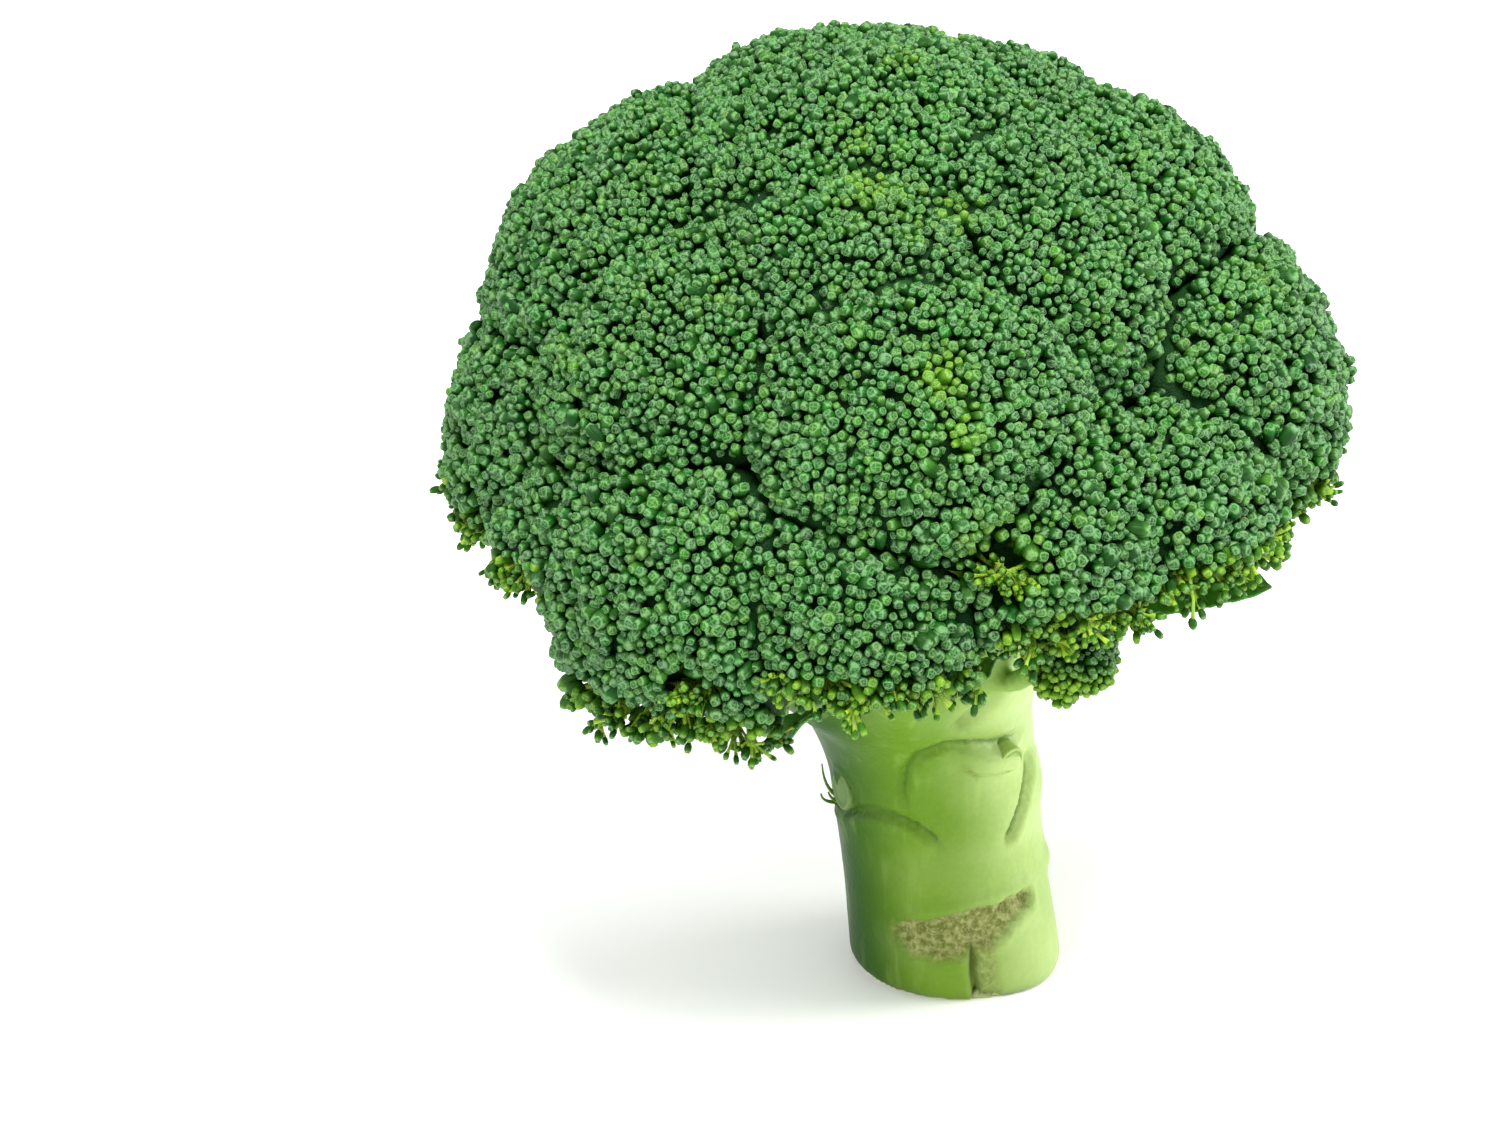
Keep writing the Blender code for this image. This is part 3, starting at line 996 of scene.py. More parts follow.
# %% Branchlets and twigs of one floret
def stem_end(place):
    """The middle of a stem's far end and the way it points."""
    points, _ = packed_piece("stem_" + place)
    foot = points[points[:, 2] < points[:, 2].min() + 0.001].mean(axis=0)
    way = normalized(points.mean(axis=0) - foot)
    reach = (points - foot) @ way
    return points[reach > reach.max() - 0.002].mean(axis=0), way


def grow_twigs(rng, place, mine):
    """Branchlets from the stem's end along the floret's under side, and a twig to each rim bud."""
    bed = beds["head_" + place]
    surface = BVHTree.FromObject(bed, bpy.context.evaluated_depsgraph_get())
    start, way = stem_end(place)
    rim = np.flatnonzero(mine & (above_rim < 0.0045) & ~in_cleft)
    parts = list(sprays[HEADS.index("head_" + place)][0])
    if len(rim) < 12:
        return parts
    ends = bud_points[rim[thin_out(rng, bud_points[rim], np.full(len(rim), 0.0085))]]
    nodes = []
    for end in ends:
        inward = end + (start - end) * rng.uniform(0.26, 0.36)
        path = []
        for share in np.linspace(0, 1, 7):
            point = start + (inward - start) * share + raised(-0.004) * math.sin(math.pi * share)
            near, normal, _, _ = surface.find_nearest(Vector(point))
            path.append(np.array(near + normal * 0.0004))
        path[0] = start - way * 0.002
        radii = np.linspace(0.0019, 0.0011, 7) * rng.uniform(0.85, 1.2)
        parts.append((*tube(path, radii, 8), 0.15))
        nodes.append((path[-1], normalized(path[-1] - path[-2])))
    places = np.array([node[0] for node in nodes])
    for number in rim:
        foot = bud_middles[number] - lean[number] * lengths[number] * 0.6
        pick = int(np.argmin(np.linalg.norm(places - foot, axis=1)))
        base, outward = nodes[pick]
        gap = np.linalg.norm(foot - base)
        if gap > 0.016:
            continue
        bend = (base + foot) / 2 + outward * gap * 0.12 + raised(-1) * gap * 0.12
        path = bow(base, bend, foot, (0, 0.3, 0.6, 0.85, 1))
        radii = (0.00050, 0.00040, 0.00034, 0.00032, 0.00044)
        parts.append((*tube(path, radii, 6), 0.45 + 0.5 * bud_age[number]))
    return parts


TWIG_GROWTH = np.random.default_rng(23)
twigs = {}
for number, node in enumerate(HEADS):
    parts = grow_twigs(TWIG_GROWTH, node[5:], bud_owner == number)
    if parts:
        twigs[node] = gather("twigs_" + node[5:], parts)
print("florets with twigs", len(twigs), "faces", sum(len(o.data.polygons) for o in twigs.values()))

# %% [markdown]
# The bed and its twigs are one piece of flesh, so they are joined. Their tone holds the flesh's own
# colour and painted shade: the very dark green between the buds and where another floret hides the bed
# is painted shade, and the pale green of the under side and the twigs is their own colour. It comes
# from how near the outer skin each point lies.


# %% Tone of the bed
def bed_tone_and_shade(bed, node):
    """0.32 on the free under side, 0.16 inside the clefts, and 0, painted shade, where buds or another
    floret hide it.
    """
    others = many_pieces([other for other in HEADS if other != node])
    points = corners_of(bed)
    tones_and_shade = np.zeros(len(points))
    for number, (point, normal) in enumerate(zip(points, corners_of(bed, "normal"))):
        depth = crown.outer_tree.find_nearest(Vector(point))[3]
        free = eased(others.find_nearest(Vector(point))[3], 0.0015, 0.0035)
        deep = eased(depth, BED_DEPTH + 0.0012, BED_DEPTH + 0.0045)
        # Where buds or another floret hide the flesh its tone stays 0, which is painted shade.
        tones_and_shade[number] = 0.32 * deep * eased(-normal[2], 0.15, 0.55) * free
    for spot, half_width in cleft_spots:
        away = np.linalg.norm(points - spot, axis=1)
        tones_and_shade = np.maximum(tones_and_shade, 0.16 * (1 - eased(away, half_width, half_width * 2)))
    return tones_and_shade


def build_flesh_material():
    """Twig flesh: near black green as painted shade in the dark, pale green on the branchlets, yellow-green
    at the rim.
    """
    material, paint = new_material("twig_flesh", 0.6, specular=0.15)
    tone_and_shade = paint.stored("tone_and_painted_shade")
    # A tone near 0 paints the flesh near black green as painted shade.
    flesh = paint.blend(paint.step(tone_and_shade, 0.02, 0.16), (1, 44, 1), (104, 142, 40))
    ripe = paint.blend(paint.step(tone_and_shade, 0.4, 0.95), flesh, (146, 178, 62))
    colour, height = mottled(paint, ripe, 260.0, 0.8)
    paint.cover(colour, height, 0.0003)
    return material


TWIG_FLESH = build_flesh_material()
for node in HEADS:
    bed = beds[node]
    write_attribute(bed, "tone_and_painted_shade", "FLOAT", bed_tone_and_shade(bed, node))
    pieces = [bed] + ([twigs[node]] if node in twigs else [])
    flesh = join_pieces("sprigs_" + node[5:], pieces)
    hand_over(flesh, TWIG_FLESH, "stalk")
print("sprig pieces", len(HEADS))

# %% [markdown]
# ## The stalk and its stems
#
# The stalk of a broccoli is one juicy stem that divides into branches, with soft saddles between them.
# The imported stalk, stems and cut leaf stalks stand a hair apart. Copies of the stalk and its stems,
# with a flare for the neck, are joined and wrapped in one skin by a voxel remesh, which closes the gaps,
# and smoothing rounds the creases.

# %% One skin over stalk and stems
STEMS = sorted(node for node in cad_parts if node.startswith("stem_"))
SKIN_NODES = ["main_stalk", "side_shoot_stem"] + STEMS


def reach_at(surface, middle, angles, high):
    """How far a surface reaches from the stalk's middle line at some bearings and one height."""
    reach = []
    for angle in angles:
        out = Vector((math.cos(angle), math.sin(angle), 0))
        hit = surface.ray_cast(Vector((middle[0], middle[1], high)) + out * 0.035, -out)
        reach.append(0.0 if hit[0] is None else 0.035 - hit[3])
    return np.array(reach)


def build_neck(rings=12, sides=72):
    """A flare that leads from the stalk out to the forking stems."""
    trunk, stems = many_pieces(["main_stalk"]), many_pieces(STEMS)
    points, _ = packed_piece("main_stalk")
    top = points[:, 2].max()
    middle = points[points[:, 2] > top - 0.001].mean(axis=0)
    angles = math.tau * np.arange(sides) / sides
    below = reach_at(trunk, middle, angles, top - 0.003)
    above = reach_at(stems, middle, angles, top + 0.0015)
    for _ in range(3):
        above = (np.roll(above, 1) + above + np.roll(above, -1)) / 3
    flare = np.clip(above - below, 0, 0.007)
    corners = []
    for ring in range(rings):
        high = top - 0.022 + 0.0245 * ring / (rings - 1)
        share = ring / (rings - 1)
        reach = reach_at(trunk, middle, angles, min(high, top - 0.001)) - 0.0003 + flare * share**1.8
        for out, angle in zip(reach, angles):
            corners.append((middle[0] + out * math.cos(angle), middle[1] + out * math.sin(angle), high))
    faces = [list(range(sides))[::-1], [(rings - 1) * sides + i for i in range(sides)]]
    for ring in range(rings - 1):
        for i in range(sides):
            j = (i + 1) % sides
            low, high = ring * sides, (ring + 1) * sides
            faces.append([low + i, low + j, high + j, high + i])
    print("the neck flares by up to", round(flare.max() * 1000, 2), "mm")
    face_corners = [corner for face in faces for corner in face]
    return mesh_object("neck", corners, face_corners, np.array([len(face) for face in faces]))


stalk_parts = [copy_packed(node, "part_" + node) for node in SKIN_NODES]
stalk = join_pieces("stalk_skin", stalk_parts + [build_neck()])
# A finer voxel than this takes the skin past two hundred thousand triangles.
apply_modifier(stalk, "REMESH", mode="VOXEL", voxel_size=0.00094, use_smooth_shade=True)
apply_modifier(stalk, "SMOOTH", iterations=14, factor=0.7)


def soften_band(obj, low, high, fade, iterations):
    """Smooths only the skin between two heights, fading out above and below them."""
    level = corners_of(obj)[:, 2]
    weight = eased(level, low - fade, low) * (1 - eased(level, high, high + fade))
    group = obj.vertex_groups.new(name="soft_band")
    for step in range(1, 11):
        chosen = np.flatnonzero(np.round(weight * 10) == step)
        if len(chosen):
            group.add(chosen.tolist(), step / 10, "REPLACE")
    apply_modifier(obj, "SMOOTH", iterations=iterations, factor=0.7, vertex_group="soft_band")
    obj.vertex_groups.clear()


soften_band(stalk, 0.048, 0.066, 0.012, 200)
print("stalk skin", len(stalk.data.polygons), "faces")

# %% [markdown]
# ## Marks on the stalk
#
# A stalk shows where its leaves were: folds, a flat stub of a leaf stalk, a dry scar. Each mark is set
# out on the unrolled stalk, by its bearing in degrees and its height in millimetres, and pushes the
# skin in or out along its normal. A fold is a line with a groove on it and one side raised.

# %% Unroll the stalk
STALK_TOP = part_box("main_stalk")[1].z
main_points, _ = packed_piece("main_stalk")
top_middle = main_points[main_points[:, 2] > STALK_TOP - 0.001].mean(axis=0)
foot_middle = main_points[main_points[:, 2] < 0.001].mean(axis=0)
MEAN_RADIUS = 0.0197

skin_points = corners_of(stalk)
skin_normals = corners_of(stalk, "normal")
offset = skin_points - (foot_middle + (top_middle - foot_middle) * (skin_points[:, 2:] / STALK_TOP))
bearing = np.degrees(np.arctan2(offset[:, 1], offset[:, 0]))
height = skin_points[:, 2] * 1000
off_axis = np.hypot(offset[:, 0], offset[:, 1])
on_trunk = eased(off_axis, 0.010, 0.015) * (1 - eased(off_axis, 0.030, 0.036))
arc = np.radians(bearing) * MEAN_RADIUS * 1000
print("trunk points", int((on_trunk > 0.5).sum()))


def arc_of(angle):
    return math.radians(angle) * MEAN_RADIUS * 1000


def dome(middle_bearing, middle_height, wide, tall):
    """A soft bump, 1 in the middle."""
    across = (arc - arc_of(middle_bearing)) / wide
    along = (height - middle_height) / tall
    return np.exp(-(across**2) - along**2)


def line_distance(line):
    """How far each point is from a line of (bearing, height) points, in mm, and on which side."""
    best = np.full(len(arc), 1e9)
    side = np.zeros(len(arc))
    share = np.zeros(len(arc))
    points = [(arc_of(angle), high) for angle, high in line]
    for number, ((x0, y0), (x1, y1)) in enumerate(zip(points, points[1:])):
        dx, dy = x1 - x0, y1 - y0
        t = np.clip(((arc - x0) * dx + (height - y0) * dy) / (dx * dx + dy * dy), 0, 1)
        away = np.hypot(arc - x0 - t * dx, height - y0 - t * dy)
        nearer = away < best
        best[nearer] = away[nearer]
        cross = dx * (height - y0) - dy * (arc - x0)
        side[nearer] = np.sign(cross)[nearer]
        share[nearer] = (number + t[nearer]) / (len(points) - 1)
    return best, side, share


# %% Folds, swellings and the leaf stalk's stub
def fold(line, groove, raise_by, width, reach):
    """A groove along a line, with the skin on its right-hand side raised, fading at both ends."""
    away, side, share = line_distance(line)
    fade = eased(share, 0.0, 0.12) * (1 - eased(share, 0.88, 1.0))
    cut = -groove * np.exp(-((away / width) ** 2))
    step = raise_by * np.exp(-away / reach) * (side < 0) * (1 - np.exp(-((away / width) ** 2)))
    return (cut + step) * fade


# Each fold is a line of (bearing, height), then its groove, its raised side, its width and its reach.
FOLDS = (
    ([(-108, 38), (-107, 44), (-102, 50), (-95, 54), (-82, 56), (-68, 55), (-56, 53.5), (-40, 52.5),
      (-28, 52.5)], 1.1, 1.2, 0.8, 4.0),
    ([(-176, 34), (-160, 35), (-146, 36), (-128, 38.5), (-114, 38.5), (-102, 37), (-93, 34.5),
      (-90, 31)], 1.0, 1.5, 0.8, 4.5),
    ([(-52, 31), (-44, 34), (-34, 38.5), (-27, 43), (-24, 48)], 0.9, 1.4, 0.8, 4.0),
    ([(10, 44), (24, 47), (42, 47), (58, 43), (64, 38)], 0.7, 1.0, 0.9, 4.0),
    ([(118, 30), (134, 33), (152, 33), (168, 29)], 0.7, 1.1, 0.9, 4.5),
)
BRANCH_CREASE = [(-78, 59), (-71, 64), (-62, 69.5), (-54, 74)]
LEAF_STALK = [(-84, 53.0), (-74, 52.0), (-62, 50.2), (-48, 49.0)]
# Swellings: how far out, then the bearing and height of the middle, and how wide and tall.
SWELLINGS = (
    (1.3, -50, 61, 9, 7), (1.0, -14, 40, 3.2, 5), (0.9, -4, 22, 2.4, 2.6),
    (2.2, -38, 8, 8.5, 8.5), (0.6, -112, 6, 10, 5), (0.8, 60, 10, 9, 8), (0.9, 150, 30, 8, 9),
)

push = np.zeros(len(arc))
fold_away, fold_side = np.full(len(arc), 9.0), np.ones(len(arc))
for line, groove, raise_by, width, reach in FOLDS:
    push += fold(line, groove, raise_by, width, reach)
    away, side, share = line_distance(line)
    away = away + 3 * (1 - eased(share, 0.0, 0.15) * (1 - eased(share, 0.85, 1.0)))
    fold_side[away < fold_away] = side[away < fold_away]
    fold_away = np.minimum(fold_away, away)
push += fold(BRANCH_CREASE, 1.6, 0.8, 1.3, 3.0)
away, _, share = line_distance(LEAF_STALK)
push += 2.9 * np.exp(-((away / 2.7) ** 4)) * eased(share, 0.0, 0.7)
for out, *where in SWELLINGS:
    push += out * dome(*where)
print("folds push from", round(push.min(), 2), "to", round(push.max(), 2), "mm")

# %% [markdown]
# The broad brown patch low on the stalk is cork, which the plant grows over a wound. It is rough and
# pitted, sunk a little, with swollen lips, and it runs down into a crack at the cut end. Its outline and
# pits come from a noise that is read at each point of the skin.

# %% Cork, crack and scars
SCAR_LINE = [(-116, 13.2), (-100, 13.4), (-88, 14.0), (-74, 15.0), (-60, 17.0), (-44, 18.8)]
CRACK = [(-79, 11), (-80, 6), (-79.5, 2), (-79, -2)]
CORK_STRIP = [(-74, 12), (-73, 6), (-72, 0)]

ragged, coarse = np.zeros(len(arc)), np.zeros(len(arc))
for number in np.flatnonzero(height < 30):
    here = Vector(skin_points[number])
    ragged[number] = noise.fractal(here * 420, 0.7, 2.0, 4)
    coarse[number] = noise.noise(here * 260)
scar_away, _, scar_share = line_distance(SCAR_LINE)
half_width = 1.9 + 2.6 * np.sin(np.pi * np.clip(scar_share * 1.02 + 0.08, 0, 1)) ** 0.8
scar_edge = scar_away - half_width - 1.5 * coarse - 0.7 * ragged
cork = 1 - eased(scar_edge, -0.8, 0.8)
strip_away, _, _ = line_distance(CORK_STRIP)
strip = (1 - eased(strip_away + 0.5 * coarse, 1.6, 2.4)) * (height < 13)
cork = np.clip(np.maximum(cork, strip * 0.5), 0, 1)
lip = np.exp(-(((scar_edge - 1.0) / 1.3) ** 2)) * (1 - cork)
crack_away, _, _ = line_distance(CRACK)
crack = np.exp(-((crack_away / 0.75) ** 2)) * (1 - eased(height, 9, 12.5))
push += -1.1 * cork + 1.1 * cork * ragged + 0.7 * lip - 2.8 * crack

scar_spot = dome(-148, 41, 2.6, 3.4)
from_spot = np.hypot((arc - arc_of(-148)) / 2.8, (height - 41) / 3.8)
scar_ring = np.exp(-(((from_spot - 1.0) / 0.22) ** 2))
push += -0.5 * scar_spot + 0.45 * scar_ring
nick_away, _, _ = line_distance([(-75, 51.0), (-71, 48.6), (-65.5, 46.8)])
nick = np.exp(-((nick_away / 0.32) ** 2))
push += -0.5 * nick
print("cork covers", int((cork > 0.5).sum()), "points")

# %% Round the cut edge and set the skin
edge = np.clip(1 - height / 2.2, 0, 1) ** 2
level_out = normalized(skin_normals * (1, 1, 0) + 1e-9)
inside = height > 0.25
soft = on_trunk * (height < 90)
moved = skin_points + skin_normals * (push * soft * 0.001 * inside)[:, None]
moved -= level_out * (edge * on_trunk * 0.0011 * inside)[:, None]
moved[:, 2] = np.maximum(moved[:, 2], 0.0)
move_corners(stalk, moved)
cracks = np.clip(crack + nick * 0.8 + 0.25 * scar_spot, 0, 1)
cut_face = (height < 0.35) * (skin_normals[:, 2] < -0.5)
marks = np.column_stack([cork, cracks, cut_face, np.ones(len(arc))])
write_attribute(stalk, "stalk_marks", "FLOAT_COLOR", marks)
fold_away = fold_away + 9 * (1 - soft) + 9 * cork
fold_place = np.column_stack([fold_away * fold_side, fold_away, np.zeros(len(arc))])
write_attribute(stalk, "fold_place", "FLOAT_VECTOR", fold_place)
print("stalk skin reaches", round(moved[:, 2].max(), 4), "m")

# %% [markdown]
# ## Stalk finish
#
# The skin is pale, waxy green. It is palest on one side and deeper green on the other and up between
# the stems: partly the skin's own tone, and partly a painted highlight on the pale side and painted
# shade on the deep side and up under the crown. Faint streaks run along it. The cork is a dry beige,
# darker in its pits. The cut face is plain pale pith.


# %% Stalk material
def build_stalk_material():
    material, paint = new_material("stalk_skin", 0.42, specular=0.12)
    place = paint.place()
    x, _, z = paint.parts(place)
    corky, cracked, cut_face = paint.channels("stalk_marks")
    # How far a point is from the nearest fold in mm: with its side as a sign, and without.
    fold_from, fold_away, _ = paint.parts(paint.stored("fold_place", "Vector"))
    # A thin dark line along each fold is painted shade in its groove.
    fold_near = paint.step(paint.size(fold_from), 0.55, 0.05)
    fold_painted_shade = paint.times(fold_near, paint.step(fold_away, 1.8, 0.9))
    # The stalk leans, so how far round it a point lies is measured from its leaning middle line.
    side = paint.plus(x, paint.times(z, 0.135))
    middle = paint.blend(paint.step(z, 0.0, 0.05), (100, 130, 44), (86, 119, 30))
    # The pale side is partly the skin's own tone and partly a painted highlight, and the deep green side is
    # partly its own tone and partly painted shade.
    green = paint.blend(paint.step(side, 0.000, 0.017), middle, (140, 162, 95))
    with_painted_shade = paint.blend(paint.step(side, -0.003, -0.019), green, (26, 66, 0))
    # Higher up, under the crown, the skin is darkened with painted shade.
    high = paint.blend(paint.step(z, 0.060, 0.095), with_painted_shade, (82, 122, 26))
    colour, height = mottled(paint, high, 70.0, 0.75)
    mapping = {"Vector": place, "Scale": (1.0, 1.0, 0.12)}
    stretched = paint.put("ShaderNodeMapping", mapping).outputs["Vector"]
    streaks = paint.noise(stretched, Scale=420.0, Detail=2.0)
    colour = paint.blend(paint.times(paint.step(streaks, 0.52, 0.75), 0.16), colour, (140, 168, 84))
    pits = paint.noise(place, Scale=900.0, Detail=5.0, Roughness=0.65)
    cork = paint.blend(paint.step(pits, 0.34, 0.70), (94, 98, 42), (160, 162, 108))
    for share, layer in (
        (paint.times(corky, 0.86), cork),
        (paint.times(cracked, 0.7), (70, 80, 24)),
        (paint.times(fold_painted_shade, 0.60), (54, 92, 8)),
        (cut_face, (186, 196, 138)),
    ):
        colour = paint.blend(share, colour, layer)
    pitted = paint.times(paint.times(pits, corky), 4.5)
    relief = paint.plus(paint.times(height, 0.35), paint.plus(paint.times(streaks, 0.3), pitted))
    paint.cover(colour, relief, 0.0002)
    paint.feed(paint.shader.inputs["Roughness"], paint.plus(0.40, paint.times(corky, 0.45)))
    return material


STALK_SKIN = build_stalk_material()
hand_over(stalk, STALK_SKIN, "stalk", *SKIN_NODES)
print("stalk stands for", len(SKIN_NODES), "packed pieces")

# %% [markdown]
# ## Cut leaf stalks
#
# Where a leaf was cut off, a short stub is left, with a round pale face and a ring of fibres in it. A
# stub is a disc that is drawn out in edit mode: its face is inset twice and pushed in, its rim is
# bevelled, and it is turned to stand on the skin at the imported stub's place.

# %% Model a cut leaf stalk
def model_stub(node, radius, squash, tip, sink, rise):
    low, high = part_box(node)
    middle = (low + high) / 2
    hub = foot_middle + (top_middle - foot_middle) * (middle.z / STALK_TOP)
    outward = Vector((middle.x - hub[0], middle.y - hub[1], 0)).normalized()
    bpy.ops.object.select_all(action="DESELECT")
    bpy.ops.mesh.primitive_cylinder_add(vertices=28, radius=radius, depth=0.009, location=(0, 0, 0))
    stub = bpy.context.active_object
    stub.name = "cut_" + node
    bpy.ops.object.mode_set(mode="EDIT")
    bpy.ops.mesh.select_mode(type="FACE")
    pick(stub, "polygons", lambda face: face.normal.z > 0.9)
    bpy.ops.transform.resize(value=(0.86, 0.86, 1), center_override=(0, 0, 0.0045))
    bpy.ops.mesh.inset(thickness=radius * 0.16, depth=radius * 0.04)
    bpy.ops.mesh.inset(thickness=radius * 0.12, depth=-radius * 0.05)
    bpy.ops.mesh.inset(thickness=radius * 0.24, depth=radius * 0.03)
    bpy.ops.mesh.poke()
    bpy.ops.mesh.select_all(action="DESELECT")
    bpy.ops.object.mode_set(mode="OBJECT")
    x, y, z = corners_of(stub).T
    write_attribute(stub, "cut_radius", "FLOAT", np.hypot(x, y) / radius * (z > 0.002))
    # The stub on the stalk's left side is marked for painted shade, like that side of the skin.
    write_attribute(stub, "cut_painted_shade", "FLOAT", np.full(len(z), 1.0 if outward.x < 0 else 0.0))
    stub.scale = (1, squash, 1)
    stub.rotation_euler = (outward + Vector((0, 0, tip))).to_track_quat("Z", "Y").to_euler()
    stub.location = middle - outward * sink + Vector((0, 0, rise))
    bpy.ops.object.transform_apply(location=True, rotation=True, scale=True)
    sharp = math.radians(30)
    apply_modifier(stub, "BEVEL", width=0.0004, segments=2, limit_method="ANGLE", angle_limit=sharp)
    apply_modifier(stub, "SUBSURF", levels=1, render_levels=1)
    stub.data.shade_smooth()
    return stub


def build_stub_material():
    """Pale pith with a darker ring of fibres near its edge, and green skin round it. The stub on the left
    side gets painted shade.
    """
    material, paint = new_material("cut_pith", 0.5)
    out = paint.stored("cut_radius")
    pith = paint.blend(paint.step(out, 0.35, 0.62), (128, 156, 66), (92, 128, 34))
    ringed = paint.blend(paint.step(out, 0.62, 0.74), pith, (134, 160, 74))
    skin = paint.blend(paint.step(out, 0.02, 0.06), (92, 130, 34), ringed)
    # Painted shade darkens the stub on the left side.
    with_painted_shade = paint.blend(paint.times(paint.stored("cut_painted_shade"), 0.75), skin, (46, 84, 8))
    colour, height = mottled(paint, with_painted_shade, 300.0, 0.9)
    paint.cover(colour, height, 0.0002)
    return material


CUT_PITH = build_stub_material()
for node, *shape in (
    ("leaf_stub_right", 0.0035, 0.9, -0.15, 0.0036, 0.0014),
    ("leaf_stub_left", 0.0040, 1.15, -0.04, 0.0062, 0.0),
):
    stub = hand_over(model_stub(node, *shape), CUT_PITH, "cut_pith", node)
    print(stub.name, len(stub.data.polygons), "faces")

# %% [markdown]
# Beside the left scar a few dry threads are all that is left of a leaf. Each starts on the stalk's skin,
# at a bearing and a height, and is a thin tapered tube.

# %% Dry threads by the left scar
def on_stalk(angle, high):
    """The skin's nearest point to a bearing in degrees and a height in millimetres, and its normal."""
    nearest = np.argmin(np.hypot(arc - arc_of(angle), height - high) + 50 * (1 - on_trunk))
    return moved[nearest], skin_normals[nearest]


threads = []
for angle, high, out, up, sideways in (
    (-176, 34.5, 2.0, 7.0, 0.2), (-172, 33.5, 2.6, 3.4, -1.2), (-166, 34.0, 1.6, 2.2, 1.0),
):
    start, outward = on_stalk(angle, high)
    across = np.cross(outward, (0, 0, 1.0))
    elbow = start + (outward * out + across * sideways) * 0.001 + raised(up * 0.00030)
    end = start + (outward * out * 1.15 + across * sideways * 1.6) * 0.001 + raised(up * 0.001)
    path = bow(start - outward * 0.0005, elbow, end, np.linspace(0, 1, 7))
    threads.append((*tube(path, np.linspace(0.00042, 0.00016, 7), 6), 0.10))
hand_over(gather("dry_threads", threads), TWIG_FLESH, "stalk")
print("dry threads", len(threads))

# %% [markdown]
# ## Young leaves
#
# The leaves that show under the crown are small and narrow, with a toothed edge, a pale midrib and side
# veins. A leaf starts as a flat grid. Its points are then moved: the outline narrows to foot and tip,
# teeth are cut into the edge, the blade folds up from the midrib and waves. Solidify gives thickness.


# %% Model a leaf
def model_leaf(node, length_points, width_points, teeth, wave, curl, roll, seed):
    """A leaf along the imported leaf's long axis, from its foot near the stems to its tip."""
    points, _ = packed_piece(node)
    hub = np.array([top_middle[0], 0.0, 0.0])
    flat_reach = np.linalg.norm((points - hub)[:, :2], axis=1)
    foot = points[flat_reach < np.percentile(flat_reach, 10)].mean(axis=0)
    tip = points[flat_reach > np.percentile(flat_reach, 92)].mean(axis=0)
    along = tip - foot
    length = np.linalg.norm(along)
    along = along / length
    side = normalized(np.cross(along, (0, 0, 1.0)))
    up = np.cross(side, along)
    cosine, sine = math.cos(math.radians(roll)), math.sin(math.radians(roll))
    side, up = side * cosine + up * sine, up * cosine - side * sine
    half = np.abs((points - foot) @ side).max()
    bpy.ops.object.select_all(action="DESELECT")
    bpy.ops.mesh.primitive_grid_add(
        x_subdivisions=length_points, y_subdivisions=width_points, size=1.0, location=(0, 0, 0)
    )
    leaf = bpy.context.active_object
    leaf.name = "young_" + node
    flat = corners_of(leaf)
    share, across = flat[:, 0] + 0.5, flat[:, 1] * 2
    outline = (0.10 + 0.90 * np.sin(np.pi * share**0.95) ** 0.7) * (1 - share**14) ** 0.7
    tooth = 1 - 0.16 * np.abs(((share * teeth) % 1.0)) * eased(share, 0.2, 0.4)
    reach = half * outline * np.where(np.abs(across) > 0.8, tooth, 1.0)
    waves = wave * np.sin(share * 17 + seed + across * 0.8) * np.abs(across) ** 1.5
    fold_up = 0.22 * np.abs(across) * reach
    arch = 0.10 * length * np.sin(np.pi * share) - curl * length * share**2
    placed = foot + np.outer(share * length, along) + np.outer(across * reach, side)
    move_corners(leaf, placed + np.outer(fold_up + waves + arch, up))
    leaf_place = np.column_stack([share, across, np.zeros(len(share))])
    write_attribute(leaf, "leaf_place", "FLOAT_VECTOR", leaf_place)
    apply_modifier(leaf, "SOLIDIFY", thickness=0.0006, offset=0.0)
    apply_modifier(leaf, "SUBSURF", levels=1, render_levels=1)
    leaf.data.shade_smooth()
    return leaf


def build_leaf_material():
    material, paint = new_material("leaf_blade", 0.45)
    along, aside, _ = paint.parts(paint.stored("leaf_place", "Vector"))
    across = paint.size(aside)
    midrib = paint.step(across, 0.16, 0.06)
    slanted = paint.figure("SUBTRACT", paint.times(along, 11.0), paint.times(across, 1.6))
    ripple = paint.size(paint.figure("SUBTRACT", paint.figure("FRACT", slanted), 0.5))
    vein = paint.times(paint.step(ripple, 0.10, 0.0), 0.5)
    blade, height = mottled(paint, linear(62, 128, 32), 320.0, 0.9)
    veined = paint.blend(vein, blade, (96, 150, 58))
    ribbed = paint.blend(midrib, veined, (120, 160, 66))
    relief = paint.figure("SUBTRACT", height, paint.plus(paint.times(vein, 2.0), midrib))
    paint.cover(ribbed, relief, 0.0002)
    return material


LEAF_BLADE = build_leaf_material()
for node, *shape in (
    ("leaf_right", 48, 8, 11, 0.0005, -0.20, -38, 0.4),
    ("leaf_under_crown", 40, 8, 7, 0.0005, 0.0, -25, 2.0),
    ("leaf_small", 30, 6, 5, 0.0003, -0.10, -20, 4.1),
):
    leaf = hand_over(model_leaf(node, *shape), LEAF_BLADE, "leaf", node)
    print(leaf.name, len(leaf.data.polygons), "faces")

# %% [markdown]
# ## The side shoot
#
# A side shoot is a young floret of its own, no bigger than a thimble. Its buds are tiny and dark on top,
# and round its lower edge they stand loose on yellow-green twigs, so it looks like a frilled knob. It is
# planted like the crown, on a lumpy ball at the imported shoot's place.

# %% Plant the side shoot
shoot_low, shoot_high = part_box("side_shoot_head")
SHOOT_MIDDLE = np.array((shoot_low + shoot_high) / 2)
SHOOT_RADIUS = (shoot_high.x - shoot_low.x) / 2
SHOOT_GROWTH = np.random.default_rng(31)


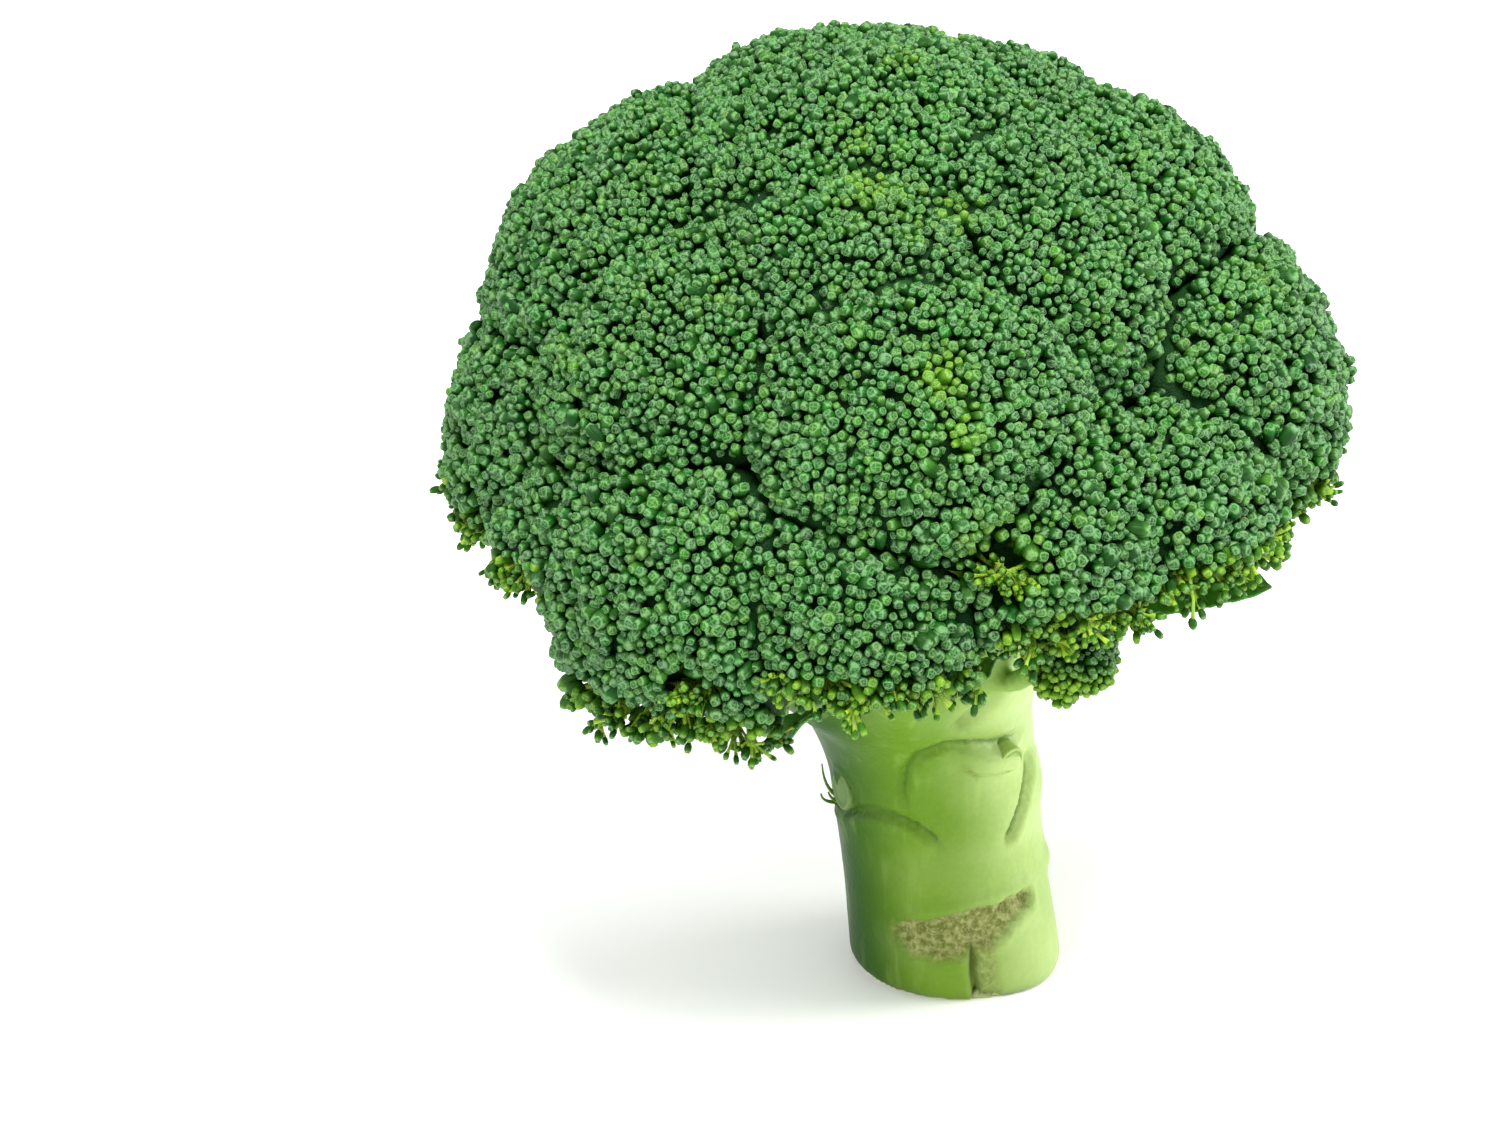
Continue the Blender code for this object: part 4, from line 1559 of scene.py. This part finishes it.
def ball_points(rng, count):
    """Evenly spread directions on a ball, along a spiral."""
    number = np.arange(count) + 0.5
    tilt = np.arccos(1 - 2 * number / count)
    around = math.pi * (1 + 5**0.5) * number
    return np.column_stack([np.sin(tilt) * np.cos(around), np.sin(tilt) * np.sin(around), np.cos(tilt)])


def plant_shoot(rng):
    ways = ball_points(rng, 520)
    ways = normalized(ways + rng.normal(0, 0.035, ways.shape))
    knobs = normalized(rng.normal(0, 1, (13, 3)))
    knob_near = (ways @ knobs.T).max(axis=1)
    lump = 0.0019 * eased(knob_near, 0.78, 1.0) - 0.0008
    frill = 1 - eased(ways[:, 2] + 0.25 * ways[:, 0], -0.35, 0.35)
    reach = SHOOT_RADIUS - 0.0015 + lump + frill * rng.uniform(-0.0006, 0.0013, len(ways))
    feet = SHOOT_MIDDLE + ways * (1.0, 1.0, 0.92) * reach[:, None]
    axes = normalized(ways + rng.normal(0, 0.25, ways.shape))
    half = rng.uniform(0.00064, 0.00096, len(ways))
    age = np.clip(0.12 + 0.95 * frill * rng.uniform(0.5, 1.1, len(ways)), 0, 1)
    bloom = rng.uniform(0, 0.2, len(ways))
    shade = np.clip(rng.normal(0.30, 0.15, len(ways)) + 0.4 * frill, 0, 1)
    turns = rng.uniform(0, math.tau, len(ways))
    tint = np.column_stack([age, bloom, shade])
    buds = plant_buds("buds_side_shoot", feet, axes, half, half * 1.15, turns, tint)
    parts = []
    for foot, way, old in zip(feet, ways, age):
        start = SHOOT_MIDDLE + way * SHOOT_RADIUS * 0.35
        path = [start, (start + foot) / 2 + raised(-0.0008), foot - way * 0.0004]
        parts.append((*tube(path, (0.0006, 0.00035, 0.0003), 5), 0.35 + 0.6 * old))
    return buds, parts


shoot_buds, shoot_parts = plant_shoot(SHOOT_GROWTH)
hand_over(shoot_buds, BUD_SKIN, "buds", "side_shoot_head")
shoot_core = copy_packed("side_shoot_head", "core")
apply_modifier(shoot_core, "DISPLACE", strength=-SHOOT_RADIUS * 0.30, mid_level=0.0)
# The top of the core, under the buds, gets painted shade; its lower side is pale flesh.
core_tone_and_shade = np.where(corners_of(shoot_core)[:, 2] > SHOOT_MIDDLE[2] - 0.001, 0.05, 0.5)
write_attribute(shoot_core, "tone_and_painted_shade", "FLOAT", core_tone_and_shade)
shoot_pieces = [shoot_core, gather("shoot_twigs", shoot_parts)]
hand_over(join_pieces("sprigs_side_shoot", shoot_pieces), TWIG_FLESH, "stalk")
print("side shoot buds", len(shoot_buds.data.polygons) // len(BUD_FACES))

# %% [markdown]
# ## The floor
#
# The floor is a plain pale sheet, far larger than the head, so that its edge never shows. It takes only
# a soft shadow. It isn't part of the object, so it is staged.

# %% Floor
bpy.ops.object.select_all(action="DESELECT")
bpy.ops.mesh.primitive_plane_add(size=12, location=(0, 0, -0.0002))
floor = bpy.context.active_object
floor.name = "floor"
floor_material, floor_paint = new_material("pale_floor", 0.6)
floor_paint.shader.inputs["Base Color"].default_value = (0.97, 0.97, 0.97, 1)
floor.data.materials.append(floor_material)
floor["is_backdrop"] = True
print("floor", tuple(round(side, 2) for side in floor.dimensions))

# %% [markdown]
# ## Hand over
#
# The last cell writes how big the dressed head is, to set beside the imported one.

# %% Sizes and finish
low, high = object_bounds()
print("dressed head", [round(side, 4) for side in high - low], "metres")
